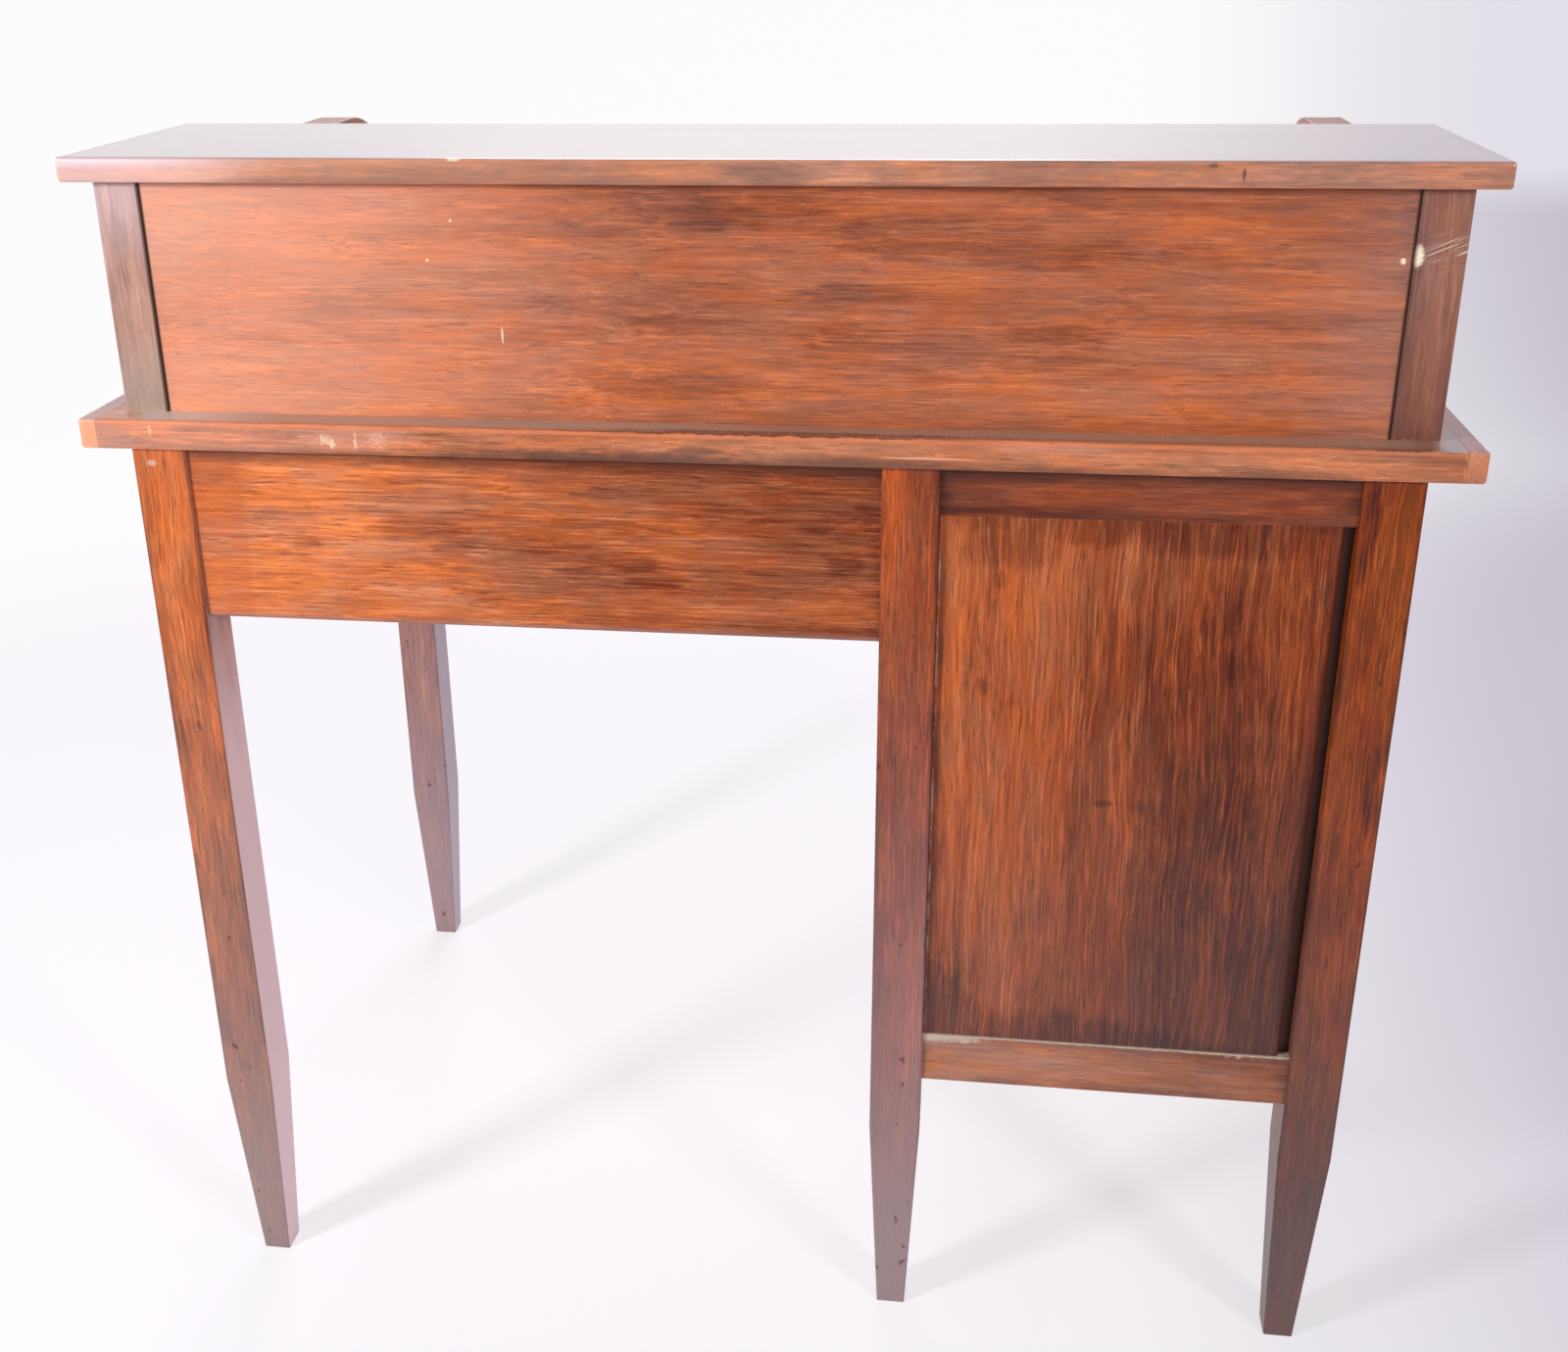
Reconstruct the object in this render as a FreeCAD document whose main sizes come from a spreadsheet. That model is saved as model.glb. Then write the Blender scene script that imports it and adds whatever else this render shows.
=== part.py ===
import FreeCAD, Part
import math
import os
import Sketcher

# A bonheur du jour: a small writing desk with a kneehole, one pedestal of drawers and a raised
# gallery whose thick ends carry a roll of slats over the writing top.
#
# Frame of the model, in millimetres: Z is up from the floor, the person who writes sits at -Y and
# faces +Y, and "left" and "right" are that person's. The origin is on the floor, under the middle
# of the writing top, which is the widest and deepest piece.

doc = FreeCAD.newDocument("BonheurDuJour")

# ---------------------------------------------------------------------------------------------
# Driving dimensions
# ---------------------------------------------------------------------------------------------
DRIVING_DIMENSIONS = [
    # writing top and its end lippings
    ("writing_height", 760.0),
    ("top_width", 968.0),
    ("top_depth", 598.0),
    ("top_thickness", 22.0),
    ("top_rear_overhang", 8.0),
    ("top_front_overhang", 30.0),
    ("top_side_overhang", 34.0),
    ("lipping_width", 14.0),
    ("board_arris", 2.5),
    # legs
    ("leg_side", 40.0),
    ("leg_foot_side", 23.0),
    ("leg_taper_height", 185.0),
    ("leg_arris", 1.5),
    ("pedestal_opening", 278.0),
    # aprons, rails and panels between the legs
    ("rail_thickness", 20.0),
    ("rail_setback", 3.0),
    ("apron_depth", 132.0),
    ("apron_arris", 3.0),
    ("drawer_rail_depth", 18.0),
    ("front_top_rail_depth", 16.0),
    ("pedestal_floor", 234.0),
    ("bottom_rail_depth", 42.0),
    ("pedestal_top_rail_depth", 35.0),
    ("panel_thickness", 8.0),
    ("panel_setback", 6.0),
    ("back_panel_field", 7.0),
    ("back_panel_field_setback", 1.5),
    ("back_panel_gap", 8.0),
    ("back_panel_edge_radius", 4.0),
    ("joint_gap", 0.4),
    ("dust_board_thickness", 8.0),
    ("dust_board_lift", 8.0),
    # gallery
    ("gallery_side_setback", 26.0),
    ("gallery_height", 164.0),
    ("gallery_rear_setback", 24.0),
    ("gallery_front_setback", 21.0),
    ("gallery_end_thickness", 32.0),
    ("gallery_end_drop", 4.0),
    ("gallery_end_radius", 110.0),
    ("gallery_end_arris", 1.5),
    ("gallery_panel_thickness", 10.0),
    ("gallery_panel_setback", 2.0),
    ("gallery_top_side_overhang", 18.0),
    ("gallery_top_depth", 214.0),
    ("gallery_top_thickness", 17.0),
    ("gallery_top_rear_overhang", 14.0),
    # roll of slats and its grooves
    ("groove_inset", 14.0),
    ("groove_width", 9.0),
    ("groove_depth", 10.0),
    ("groove_rear_radius", 25.0),
    ("groove_rear_inset", 5.5),
    ("groove_bottom_lift", 7.0),
    ("groove_end_clearance", 2.0),
    ("slat_thickness", 8.0),
    ("slat_width", 14.2),
    ("slat_pitch", 14.8),
    ("slat_edge_radius", 2.5),
    ("canvas_thickness", 1.0),
    ("roll_rail_depth", 24.0),
    ("roll_rail_height", 16.0),
    ("roll_rail_setback", 5.0),
    ("roll_knob_to_middle", 250.0),
    # stationery nest
    ("nest_height", 132.0),
    ("nest_lift", 14.0),
    ("nest_depth", 150.0),
    ("nest_front_setback", 10.0),
    ("nest_board", 8.0),
    ("nest_back_thickness", 5.0),
    ("nest_partition", 6.0),
    ("nest_bay_width", 183.0),
    ("nest_drawer_opening", 56.0),
    # large drawers
    ("drawer_rear_clearance", 34.0),
    ("drawer_front_thickness", 18.0),
    ("drawer_side_thickness", 12.0),
    ("drawer_back_thickness", 10.0),
    ("drawer_bottom_thickness", 5.0),
    ("drawer_bottom_lift", 8.0),
    ("drawer_groove_depth", 5.0),
    ("drawer_side_drop", 6.0),
    ("drawer_back_drop", 6.0),
    ("drawer_gap", 1.0),
    ("drawer_run_gap", 0.3),
    ("lower_drawer_opening", 166.0),
    ("runner_width", 15.0),
    ("runner_height", 12.0),
    ("guide_height", 34.0),
    ("frieze_knob_to_middle", 150.0),
    # small drawers of the nest
    ("small_drawer_rear_clearance", 5.0),
    ("small_front_thickness", 10.0),
    ("small_side_thickness", 6.0),
    ("small_back_thickness", 5.0),
    ("small_bottom_thickness", 3.0),
    ("small_bottom_lift", 4.0),
    ("small_groove_depth", 2.5),
    # turned knobs
    ("knob_radius", 12.0),
    ("knob_length", 22.0),
    ("small_knob_radius", 8.0),
    ("small_knob_length", 15.0),
    ("spigot_clearance", 0.1),
]

sheet = doc.addObject("Spreadsheet::Sheet", "Sizes")
for row, (alias, value) in enumerate(DRIVING_DIMENSIONS, start=1):
    sheet.set(f"A{row}", alias)
    sheet.set(f"B{row}", str(value))
    sheet.setAlias(f"B{row}", alias)
doc.recompute()


class Length:
    """A length known two ways: its formula over the sheet, for binding, and its present value."""

    def __init__(self, formula, value):
        self.formula = formula
        self.value = value

    def joined(self, other, sign, swap=False):
        if not isinstance(other, Length):
            other = Length(repr(float(other)), float(other))
        first, second = (other, self) if swap else (self, other)
        values = {"+": first.value + second.value, "-": first.value - second.value,
                  "*": first.value * second.value}
        value = first.value / second.value if sign == "/" else values[sign]
        return Length(f"({first.formula} {sign} {second.formula})", value)

    def __add__(self, other):
        return self.joined(other, "+")

    def __sub__(self, other):
        return self.joined(other, "-")

    def __rsub__(self, other):
        return self.joined(other, "-", swap=True)

    def __mul__(self, other):
        return self.joined(other, "*")

    def __truediv__(self, other):
        return self.joined(other, "/")

    def __neg__(self):
        return self.joined(-1.0, "*")

    __radd__ = __add__
    __rmul__ = __mul__


def sine(turn):
    return Length(f"sin({turn.formula} * 1 rad)", math.sin(turn.value))


def cosine(turn):
    return Length(f"cos({turn.formula} * 1 rad)", math.cos(turn.value))


class Sizes:
    """Gives each driving dimension as a Length, by its name."""

    def __getattr__(self, alias):
        return Length(f"Sizes.{alias}", float(sheet.get(alias)))


size = Sizes()
ZERO = Length("0", 0.0)

# ---------------------------------------------------------------------------------------------
# Ways of making pieces
# ---------------------------------------------------------------------------------------------
nodes = []


def as_node(piece, label):
    """Name a finished piece as a node of its own."""
    piece.Label = label
    nodes.append(piece)
    return piece


def bind(thing, name, length):
    thing.setExpression(name, length.formula)


def place(thing, corner):
    for axis, length in zip("xyz", corner):
        bind(thing, f"Placement.Base.{axis}", length)


def new_sketch(body, plane, name, lift=None, shift=None):
    """A sketch on one of the body's own origin planes, lifted along the plane's normal."""
    sketch = body.newObject("Sketcher::SketchObject", name)
    origin_plane = [item for item in body.Origin.OriginFeatures if item.Role == plane][0]
    sketch.AttachmentSupport = [(origin_plane, "")]
    sketch.MapMode = "FlatFace"
    if lift is not None:
        bind(sketch, "AttachmentOffset.Base.z", lift)
    if shift is not None:
        bind(sketch, "AttachmentOffset.Base.x", shift[0])
        bind(sketch, "AttachmentOffset.Base.y", shift[1])
    return sketch


def held(sketch, kind, arguments, length):
    """Add a dimension to a sketch and bind it to the sheet."""
    index = sketch.addConstraint(Sketcher.Constraint(kind, *arguments, length.value))
    bind(sketch, f"Constraints[{index}]", length)


def outline(sketch, points):
    """Draw a closed outline of straight lines through points with positive coordinates."""
    vectors = [FreeCAD.Vector(x.value, y.value, 0) for x, y in points]
    first = sketch.GeometryCount
    count = len(points)
    for index in range(count):
        sketch.addGeometry(Part.LineSegment(vectors[index], vectors[(index + 1) % count]), False)
    for index in range(count):
        following = first + (index + 1) % count
        sketch.addConstraint(Sketcher.Constraint("Coincident", first + index, 2, following, 1))
    for index, (x, y) in enumerate(points):
        line = first + index
        if x.formula == "0":
            sketch.addConstraint(Sketcher.Constraint("PointOnObject", line, 1, -2))
        else:
            held(sketch, "DistanceX", (-1, 1, line, 1), x)
        if y.formula == "0":
            sketch.addConstraint(Sketcher.Constraint("PointOnObject", line, 1, -1))
        else:
            held(sketch, "DistanceY", (-1, 1, line, 1), y)


def bent_outline(sketch, corners):
    """Draw a closed outline of level and upright lines; a corner is its x, y and bend radius."""
    points = [FreeCAD.Vector(x.value, y.value, 0) for x, y, _ in corners]
    count = len(corners)
    ways = [(points[(index + 1) % count] - points[index]).normalize() for index in range(count)]
    lines = []
    for index, (x, y, radius) in enumerate(corners):
        start = points[index] + ways[index] * radius.value
        end_radius = corners[(index + 1) % count][2].value
        end = points[(index + 1) % count] - ways[index] * end_radius
        line = sketch.addGeometry(Part.LineSegment(start, end), False)
        lines.append(line)
        upright = near(start.x, end.x)
        sketch.addConstraint(Sketcher.Constraint("Vertical" if upright else "Horizontal", line))
        across, offset, axis = ("DistanceX", x, -2) if upright else ("DistanceY", y, -1)
        if offset.formula == "0":
            sketch.addConstraint(Sketcher.Constraint("PointOnObject", line, 1, axis))
        else:
            held(sketch, across, (-1, 1, line, 1), offset)
    for index, (_, _, radius) in enumerate(corners):
        if radius.formula == "0":
            joint = Sketcher.Constraint("Coincident", lines[index - 1], 2, lines[index], 1)
            sketch.addConstraint(joint)
            continue
        coming, going = ways[index - 1], ways[index]
        centre = points[index] + (going - coming) * radius.value
        leftward = coming.cross(going).z > 0
        ends = [points[index] - coming * radius.value, points[index] + going * radius.value]
        first, last = ends if leftward else reversed(ends)
        bend = Part.ArcOfCircle(
            Part.Circle(centre, FreeCAD.Vector(0, 0, 1), radius.value),
            math.atan2(first.y - centre.y, first.x - centre.x),
            math.atan2(last.y - centre.y, last.x - centre.x))
        arc = sketch.addGeometry(bend, False)
        entry, leaving = (1, 2) if leftward else (2, 1)
        sketch.addConstraint(Sketcher.Constraint("Tangent", lines[index - 1], 2, arc, entry))
        sketch.addConstraint(Sketcher.Constraint("Tangent", arc, leaving, lines[index], 1))
        held(sketch, "Radius", (arc,), radius)


def rectangle(sketch, low, high):
    outline(sketch, [(low[0], low[1]), (high[0], low[1]), (high[0], high[1]), (low[0], high[1])])


def circle(sketch, centre, radius):
    place_at = FreeCAD.Vector(centre[0].value, centre[1].value, 0)
    index = sketch.addGeometry(Part.Circle(place_at, FreeCAD.Vector(0, 0, 1), radius.value), False)
    held(sketch, "DistanceX", (-1, 1, index, 3), centre[0])
    held(sketch, "DistanceY", (-1, 1, index, 3), centre[1])
    held(sketch, "Radius", (index,), radius)


def pad(body, sketch, length, reverse=False):
    feature = body.newObject("PartDesign::Pad", sketch.Name + "_pad")
    feature.Profile = sketch
    feature.Reversed = reverse
    bind(feature, "Length", length)
    doc.recompute()
    return feature


def pocket(body, sketch, length, reverse=False):
    """Cut a sketch into its body, and make sure that the cut took something away."""
    before = body.Shape.Volume
    feature = body.newObject("PartDesign::Pocket", sketch.Name + "_pocket")
    feature.Profile = sketch
    feature.Reversed = reverse
    bind(feature, "Length", length)
    doc.recompute()
    assert body.Shape.Volume < before, f"{feature.Name} cuts nothing"
    return feature


def edges_where(body, rule):
    """Names of the edges whose middle point and direction satisfy a rule."""
    names = []
    for index, edge in enumerate(body.Shape.Edges, start=1):
        middle = edge.valueAt((edge.FirstParameter + edge.LastParameter) / 2)
        middle = body.Placement.inverse().multVec(middle)
        along = edge.tangentAt((edge.FirstParameter + edge.LastParameter) / 2)
        if rule(middle, along):
            names.append(f"Edge{index}")
    return names


def rounded(body, name, radius, rule):
    sharp = body.Tip
    edges = edges_where(body, rule)
    feature = body.newObject("PartDesign::Fillet", name)
    feature.Base = (sharp, edges)
    bind(feature, "Radius", radius)
    doc.recompute()
    assert "Invalid" not in feature.State, f"{name} can't be rounded"
    return feature


def near(first, second):
    return abs(first - second) < 1e-4


def plain_board(name, extent, corner):
    """A rectangular board, by its extent and its corner with the lowest coordinates."""
    body = doc.addObject("PartDesign::Body", name)
    sketch = new_sketch(body, "XY_Plane", name + "_outline")
    rectangle(sketch, (ZERO, ZERO), (extent[0], extent[1]))
    pad(body, sketch, extent[2])
    place(body, corner)
    doc.recompute()
    return body


def board(label, extent, corner):
    return as_node(plain_board(label, extent, corner), label)


def group(label, members):
    """Several separate solids that share one node."""
    compound = doc.addObject("Part::Compound", label)
    compound.Links = members
    doc.recompute()
    return as_node(compound, label)


# ---------------------------------------------------------------------------------------------
# Lines that several pieces share
# ---------------------------------------------------------------------------------------------
top_underside = size.writing_height - size.top_thickness
rear_face = size.top_depth / 2 - size.top_rear_overhang
front_face = -size.top_depth / 2 + size.top_front_overhang
outer_face = size.top_width / 2 - size.top_side_overhang
pedestal_left = size.leg_side - outer_face
pedestal_width = size.pedestal_opening
pedestal_right = pedestal_left + pedestal_width
kneehole_left = pedestal_right + size.leg_side
kneehole_right = outer_face - size.leg_side
kneehole_width = kneehole_right - kneehole_left
rail_rear = rear_face - size.rail_setback
rail_rear_inside = rail_rear - size.rail_thickness
rail_front = front_face + size.rail_setback
rail_front_inside = rail_front + size.rail_thickness
apron_bottom = top_underside - size.apron_depth
between_legs_front = front_face + size.leg_side
between_legs_depth = rear_face - size.leg_side - between_legs_front
bottom_rail_top = size.pedestal_floor + size.bottom_rail_depth

# ---------------------------------------------------------------------------------------------
# Writing top: one wide board with a lipping across each end
# ---------------------------------------------------------------------------------------------
board_length = size.top_width - size.lipping_width * 2
top_corner_y = -size.top_depth / 2

writing_top = board(
    "writing_top",
    (board_length, size.top_depth, size.top_thickness),
    (-board_length / 2, top_corner_y, top_underside))
rounded(writing_top, "writing_top_arris", size.board_arris, lambda middle, along: near(abs(along.x), 1))



def top_lipping(name, corner_x, joint_x):
    """An end lipping; its arrises are all rounded but for those that meet the wide board."""
    body = plain_board(
        name,
        (size.lipping_width, size.top_depth, size.top_thickness),
        (corner_x, top_corner_y, top_underside))
    rounded(
        body, name + "_arris", size.board_arris,
        lambda middle, along: not near(middle.x, joint_x.value))
    return body


group("top_lippings", [
    top_lipping("top_lipping_left", -size.top_width / 2, joint_x=size.lipping_width),
    top_lipping("top_lipping_right", board_length / 2, joint_x=ZERO),
])

# ---------------------------------------------------------------------------------------------
# Six legs: square, with a taper on all four sides below a soft bend
# ---------------------------------------------------------------------------------------------


def leg_section(body, name, side, lift, inset):
    """A square with rounded corners, centred on the leg's axis, at a height of its own."""
    sketch = new_sketch(body, "XY_Plane", name, lift=lift, shift=(inset, inset))
    radius = size.leg_arris
    bent_outline(sketch, [
        (ZERO, ZERO, radius), (side, ZERO, radius), (side, side, radius), (ZERO, side, radius)])
    return sketch


def leg(label, corner_x, corner_y):
    body = doc.addObject("PartDesign::Body", label)
    inset = (size.leg_side - size.leg_foot_side) / 2
    foot = leg_section(body, label + "_foot", size.leg_foot_side, ZERO, inset)
    square = leg_section(body, label + "_square", size.leg_side, size.leg_taper_height, ZERO)
    doc.recompute()
    taper = body.newObject("PartDesign::AdditiveLoft", label + "_taper")
    taper.Profile = foot
    taper.Sections = [square]
    taper.Ruled = True
    doc.recompute()
    pad(body, square, top_underside - size.leg_taper_height)
    place(body, (corner_x, corner_y, ZERO))
    return as_node(body, label)


leg_columns = {
    "left": -outer_face,
    "centre": pedestal_right,
    "right": kneehole_right,
}
leg_rows = {"rear": rear_face - size.leg_side, "front": front_face}
for row_name, row_y in leg_rows.items():
    for column_name, column_x in leg_columns.items():
        leg(f"leg_{row_name}_{column_name}", column_x, row_y)

# ---------------------------------------------------------------------------------------------
# Aprons of the kneehole, and the rails at its front
# ---------------------------------------------------------------------------------------------
rear_apron = board(
    "rear_apron",
    (kneehole_width, size.rail_thickness, size.apron_depth),
    (kneehole_left, rail_rear_inside, apron_bottom))
rounded(
    rear_apron, "rear_apron_arris", size.apron_arris,
    lambda middle, along: near(abs(along.x), 1) and near(middle.z, 0) and middle.y > 1)

board(
    "right_side_apron",
    (size.rail_thickness, between_legs_depth, size.apron_depth),
    (outer_face - size.rail_setback - size.rail_thickness, between_legs_front, apron_bottom))

frieze_opening_bottom = apron_bottom + size.drawer_rail_depth
frieze_opening_top = top_underside - size.front_top_rail_depth
group("frieze_front_rails", [
    plain_board(
        "frieze_top_rail",
        (kneehole_width, size.rail_thickness, size.front_top_rail_depth),
        (kneehole_left, rail_front, frieze_opening_top)),
    plain_board(
        "frieze_bottom_rail",
        (kneehole_width, size.rail_thickness, size.drawer_rail_depth),
        (kneehole_left, rail_front, apron_bottom)),
])

# ---------------------------------------------------------------------------------------------
# Pedestal: framed back and sides, front rails and a notched dust board
# ---------------------------------------------------------------------------------------------
back_top_rail_bottom = top_underside - size.pedestal_top_rail_depth
board(
    "pedestal_back_top_rail",
    (pedestal_width, size.rail_thickness, size.pedestal_top_rail_depth),
    (pedestal_left, rail_rear_inside, back_top_rail_bottom))
board(
    "pedestal_back_bottom_rail",
    (pedestal_width, size.rail_thickness, size.bottom_rail_depth),
    (pedestal_left, rail_rear_inside, size.pedestal_floor))


def back_panel(label):
    """A thin plate that fills the opening, with a thicker field whose one edge stands off the leg."""
    opening_height = back_top_rail_bottom - bottom_rail_top
    plate = size.panel_thickness
    body = doc.addObject("PartDesign::Body", label)
    plate_sketch = new_sketch(body, "XZ_Plane", label + "_plate")
    rectangle(
        plate_sketch, (size.joint_gap, size.joint_gap),
        (pedestal_width - size.joint_gap, opening_height - size.joint_gap))
    pad(body, plate_sketch, plate)
    field_sketch = new_sketch(body, "XZ_Plane", label + "_field")
    rectangle(
        field_sketch, (size.back_panel_gap, size.joint_gap),
        (pedestal_width - size.joint_gap, opening_height - size.joint_gap))
    pad(body, field_sketch, size.back_panel_field, reverse=True)
    face = size.back_panel_field.value
    rounded(
        body, label + "_edge", size.back_panel_edge_radius,
        lambda middle, along: near(middle.y, face) and near(middle.x, size.back_panel_gap.value))
    field_rear = rail_rear - size.back_panel_field_setback
    place(body, (pedestal_left, field_rear - size.back_panel_field, bottom_rail_top))
    return as_node(body, label)


back_panel("pedestal_back_panel")


def framed_side(prefix, inside_x, outward):
    """Top rail, bottom rail and panel between two legs; inside_x is the rails' lower X face."""
    side_top_rail_bottom = top_underside - size.pedestal_top_rail_depth
    group(f"{prefix}_rails", [
        plain_board(
            f"{prefix}_top_rail",
            (size.rail_thickness, between_legs_depth, size.pedestal_top_rail_depth),
            (inside_x, between_legs_front, side_top_rail_bottom)),
        plain_board(
            f"{prefix}_bottom_rail",
            (size.rail_thickness, between_legs_depth, size.bottom_rail_depth),
            (inside_x, between_legs_front, size.pedestal_floor)),
    ])
    if outward > 0:
        panel_x = inside_x + size.rail_thickness - size.panel_setback - size.panel_thickness
    else:
        panel_x = inside_x + size.panel_setback
    board(
        f"{prefix}_panel",
        (size.panel_thickness, between_legs_depth, side_top_rail_bottom - bottom_rail_top),
        (panel_x, between_legs_front, bottom_rail_top))


outer_side_x = -outer_face + size.rail_setback
inner_side_x = kneehole_left - size.rail_setback - size.rail_thickness
framed_side("pedestal_outer", outer_side_x, outward=-1)
framed_side("pedestal_inner", inner_side_x, outward=1)

middle_opening_top = apron_bottom
lower_opening_top = bottom_rail_top + size.lower_drawer_opening
middle_opening_bottom = lower_opening_top + size.drawer_rail_depth
front_rails = [
    ("top", frieze_opening_top, size.front_top_rail_depth),
    ("upper", apron_bottom, size.drawer_rail_depth),
    ("lower", lower_opening_top, size.drawer_rail_depth),
    ("bottom", size.pedestal_floor, size.bottom_rail_depth),
]
group("pedestal_front_rails", [
    plain_board(
        f"pedestal_front_{rail_name}_rail",
        (pedestal_width, size.rail_thickness, rail_depth),
        (pedestal_left, rail_front, rail_z))
    for rail_name, rail_z, rail_depth in front_rails])


def dust_board(label):
    """The pedestal's floor, notched round the inner corners of its four legs."""
    inside_left = outer_side_x + size.rail_thickness
    width = inner_side_x - inside_left
    depth = rail_rear_inside - rail_front_inside
    notch_x = pedestal_left - inside_left
    notch_y = between_legs_front - rail_front_inside
    body = doc.addObject("PartDesign::Body", label)
    sketch = new_sketch(body, "XY_Plane", label + "_outline")
    outline(sketch, [
        (notch_x, ZERO), (width - notch_x, ZERO), (width - notch_x, notch_y), (width, notch_y),
        (width, depth - notch_y), (width - notch_x, depth - notch_y), (width - notch_x, depth),
        (notch_x, depth), (notch_x, depth - notch_y), (ZERO, depth - notch_y), (ZERO, notch_y),
        (notch_x, notch_y)])
    pad(body, sketch, size.dust_board_thickness)
    place(body, (inside_left, rail_front_inside, size.pedestal_floor + size.dust_board_lift))
    return as_node(body, label)


dust_board("pedestal_dust_board")

# ---------------------------------------------------------------------------------------------
# Runners that the large drawers slide on, and the guides beside them
# ---------------------------------------------------------------------------------------------
runner_length = rail_rear_inside - rail_front_inside


def runner(name, corner_x, opening_bottom):
    return plain_board(
        name,
        (size.runner_width, runner_length, size.runner_height),
        (corner_x, rail_front_inside, opening_bottom - size.runner_height))


def guide(name, corner_x, width, opening_bottom):
    return plain_board(
        name,
        (width, between_legs_depth, size.guide_height),
        (corner_x, between_legs_front, opening_bottom - size.runner_height))


side_recess = size.leg_side - size.rail_setback - size.rail_thickness
group("frieze_drawer_runners", [
    runner("frieze_runner_right", kneehole_right - size.runner_width, frieze_opening_bottom),
    runner("frieze_runner_left", kneehole_left, frieze_opening_bottom),
    guide("frieze_guide_right", kneehole_right, side_recess, frieze_opening_bottom),
])
pedestal_openings = [
    ("upper", frieze_opening_bottom, frieze_opening_top),
    ("middle", middle_opening_bottom, middle_opening_top),
    ("lower", bottom_rail_top, lower_opening_top),
]
pedestal_runners = []
for opening_name, opening_bottom, _ in pedestal_openings:
    prefix = f"pedestal_{opening_name}"
    guide_left = pedestal_left - side_recess
    pedestal_runners += [
        runner(f"{prefix}_runner_left", pedestal_left, opening_bottom),
        runner(f"{prefix}_runner_right", pedestal_right - size.runner_width, opening_bottom),
        guide(f"{prefix}_guide_left", guide_left, side_recess, opening_bottom),
        guide(f"{prefix}_guide_right", pedestal_right, side_recess, opening_bottom),
    ]
group("pedestal_drawer_runners", pedestal_runners)

# ---------------------------------------------------------------------------------------------
# Gallery: two thick ends with a curved front and a groove for the roll, a back and a top
# ---------------------------------------------------------------------------------------------
gallery_rear = size.top_depth / 2 - size.gallery_rear_setback
gallery_front = -size.top_depth / 2 + size.gallery_front_setback
gallery_underside = size.writing_height + size.gallery_height
gallery_outside = size.top_width / 2 - size.gallery_side_setback
gallery_inside = gallery_outside - size.gallery_end_thickness
gallery_top_rear = gallery_rear + size.gallery_top_rear_overhang
gallery_top_front = gallery_top_rear - size.gallery_top_depth
end_length = gallery_rear - gallery_front
end_front_height = size.gallery_height - size.gallery_end_drop
groove_height = end_front_height - size.groove_inset
gallery_panel_front = gallery_rear - size.gallery_panel_setback - size.gallery_panel_thickness
groove_rear = gallery_panel_front - gallery_front - size.groove_rear_inset
nest_front = gallery_top_front + size.nest_front_setback
groove_nose = nest_front + size.nest_board + size.groove_end_clearance - gallery_front


def gallery_end(label, side):
    """One end: X = 0 of the body is its inner face, and Y = 0 is its front."""
    body = doc.addObject("PartDesign::Body", label)
    outer = side > 0
    step_rear = gallery_top_front - gallery_front
    step_front = step_rear - size.gallery_end_drop * 6
    profile = new_sketch(body, "YZ_Plane", label + "_profile")
    outline(profile, [
        (ZERO, ZERO), (end_length, ZERO), (end_length, size.gallery_height),
        (step_rear, size.gallery_height), (step_front, end_front_height), (ZERO, end_front_height)])
    pad(body, profile, size.gallery_end_thickness, reverse=not outer)
    rounded(
        body, label + "_front_curve", size.gallery_end_radius,
        lambda middle, along: near(middle.y, 0) and near(middle.z, end_front_height.value))
    front_height = end_front_height.value
    rounded(
        body, label + "_arris", size.gallery_end_arris,
        lambda middle, along: near(abs(along.x), 0) and (
            middle.z > 1 and middle.y < step_front.value or near(middle.y, end_length.value)))
    band = new_sketch(body, "YZ_Plane", label + "_groove")
    low = size.groove_inset - size.groove_width / 2
    high = size.groove_inset + size.groove_width / 2
    rear_low = groove_rear - size.groove_width / 2
    rear_high = groove_rear + size.groove_width / 2
    top_low = groove_height - size.groove_width / 2
    top_high = groove_height + size.groove_width / 2
    front_outer = size.gallery_end_radius - low
    front_inner = size.gallery_end_radius - high
    rear_outer = size.groove_rear_radius + size.groove_width / 2
    rear_inner = size.groove_rear_radius - size.groove_width / 2
    bottom_low = size.groove_bottom_lift - size.groove_width / 2
    bottom_high = size.groove_bottom_lift + size.groove_width / 2
    bent_outline(band, [
        (low, ZERO, ZERO), (high, ZERO, ZERO), (high, top_low, front_inner),
        (rear_low, top_low, rear_inner), (rear_low, bottom_high, rear_inner),
        (groove_nose, bottom_high, ZERO), (groove_nose, bottom_low, ZERO),
        (rear_high, bottom_low, rear_outer), (rear_high, top_high, rear_outer),
        (low, top_high, front_outer)])
    pocket(body, band, size.groove_depth, reverse=outer)
    inner_x = gallery_inside if outer else -gallery_inside
    place(body, (inner_x, gallery_front, size.writing_height))
    return as_node(body, label)


gallery_end("gallery_end_left", side=-1)
gallery_end("gallery_end_right", side=1)

board(
    "gallery_back_panel",
    (gallery_inside * 2 - size.joint_gap * 2, size.gallery_panel_thickness, size.gallery_height),
    (-gallery_inside + size.joint_gap, gallery_panel_front, size.writing_height))

gallery_top_half = gallery_outside + size.gallery_top_side_overhang
gallery_top = board(
    "gallery_top",
    (gallery_top_half * 2, size.gallery_top_depth, size.gallery_top_thickness),
    (-gallery_top_half, gallery_top_front, gallery_underside))
rounded(gallery_top, "gallery_top_arris", size.board_arris, lambda middle, along: True)

# ---------------------------------------------------------------------------------------------
# Turned knobs, each with a spigot that goes into its hole
# ---------------------------------------------------------------------------------------------


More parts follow.
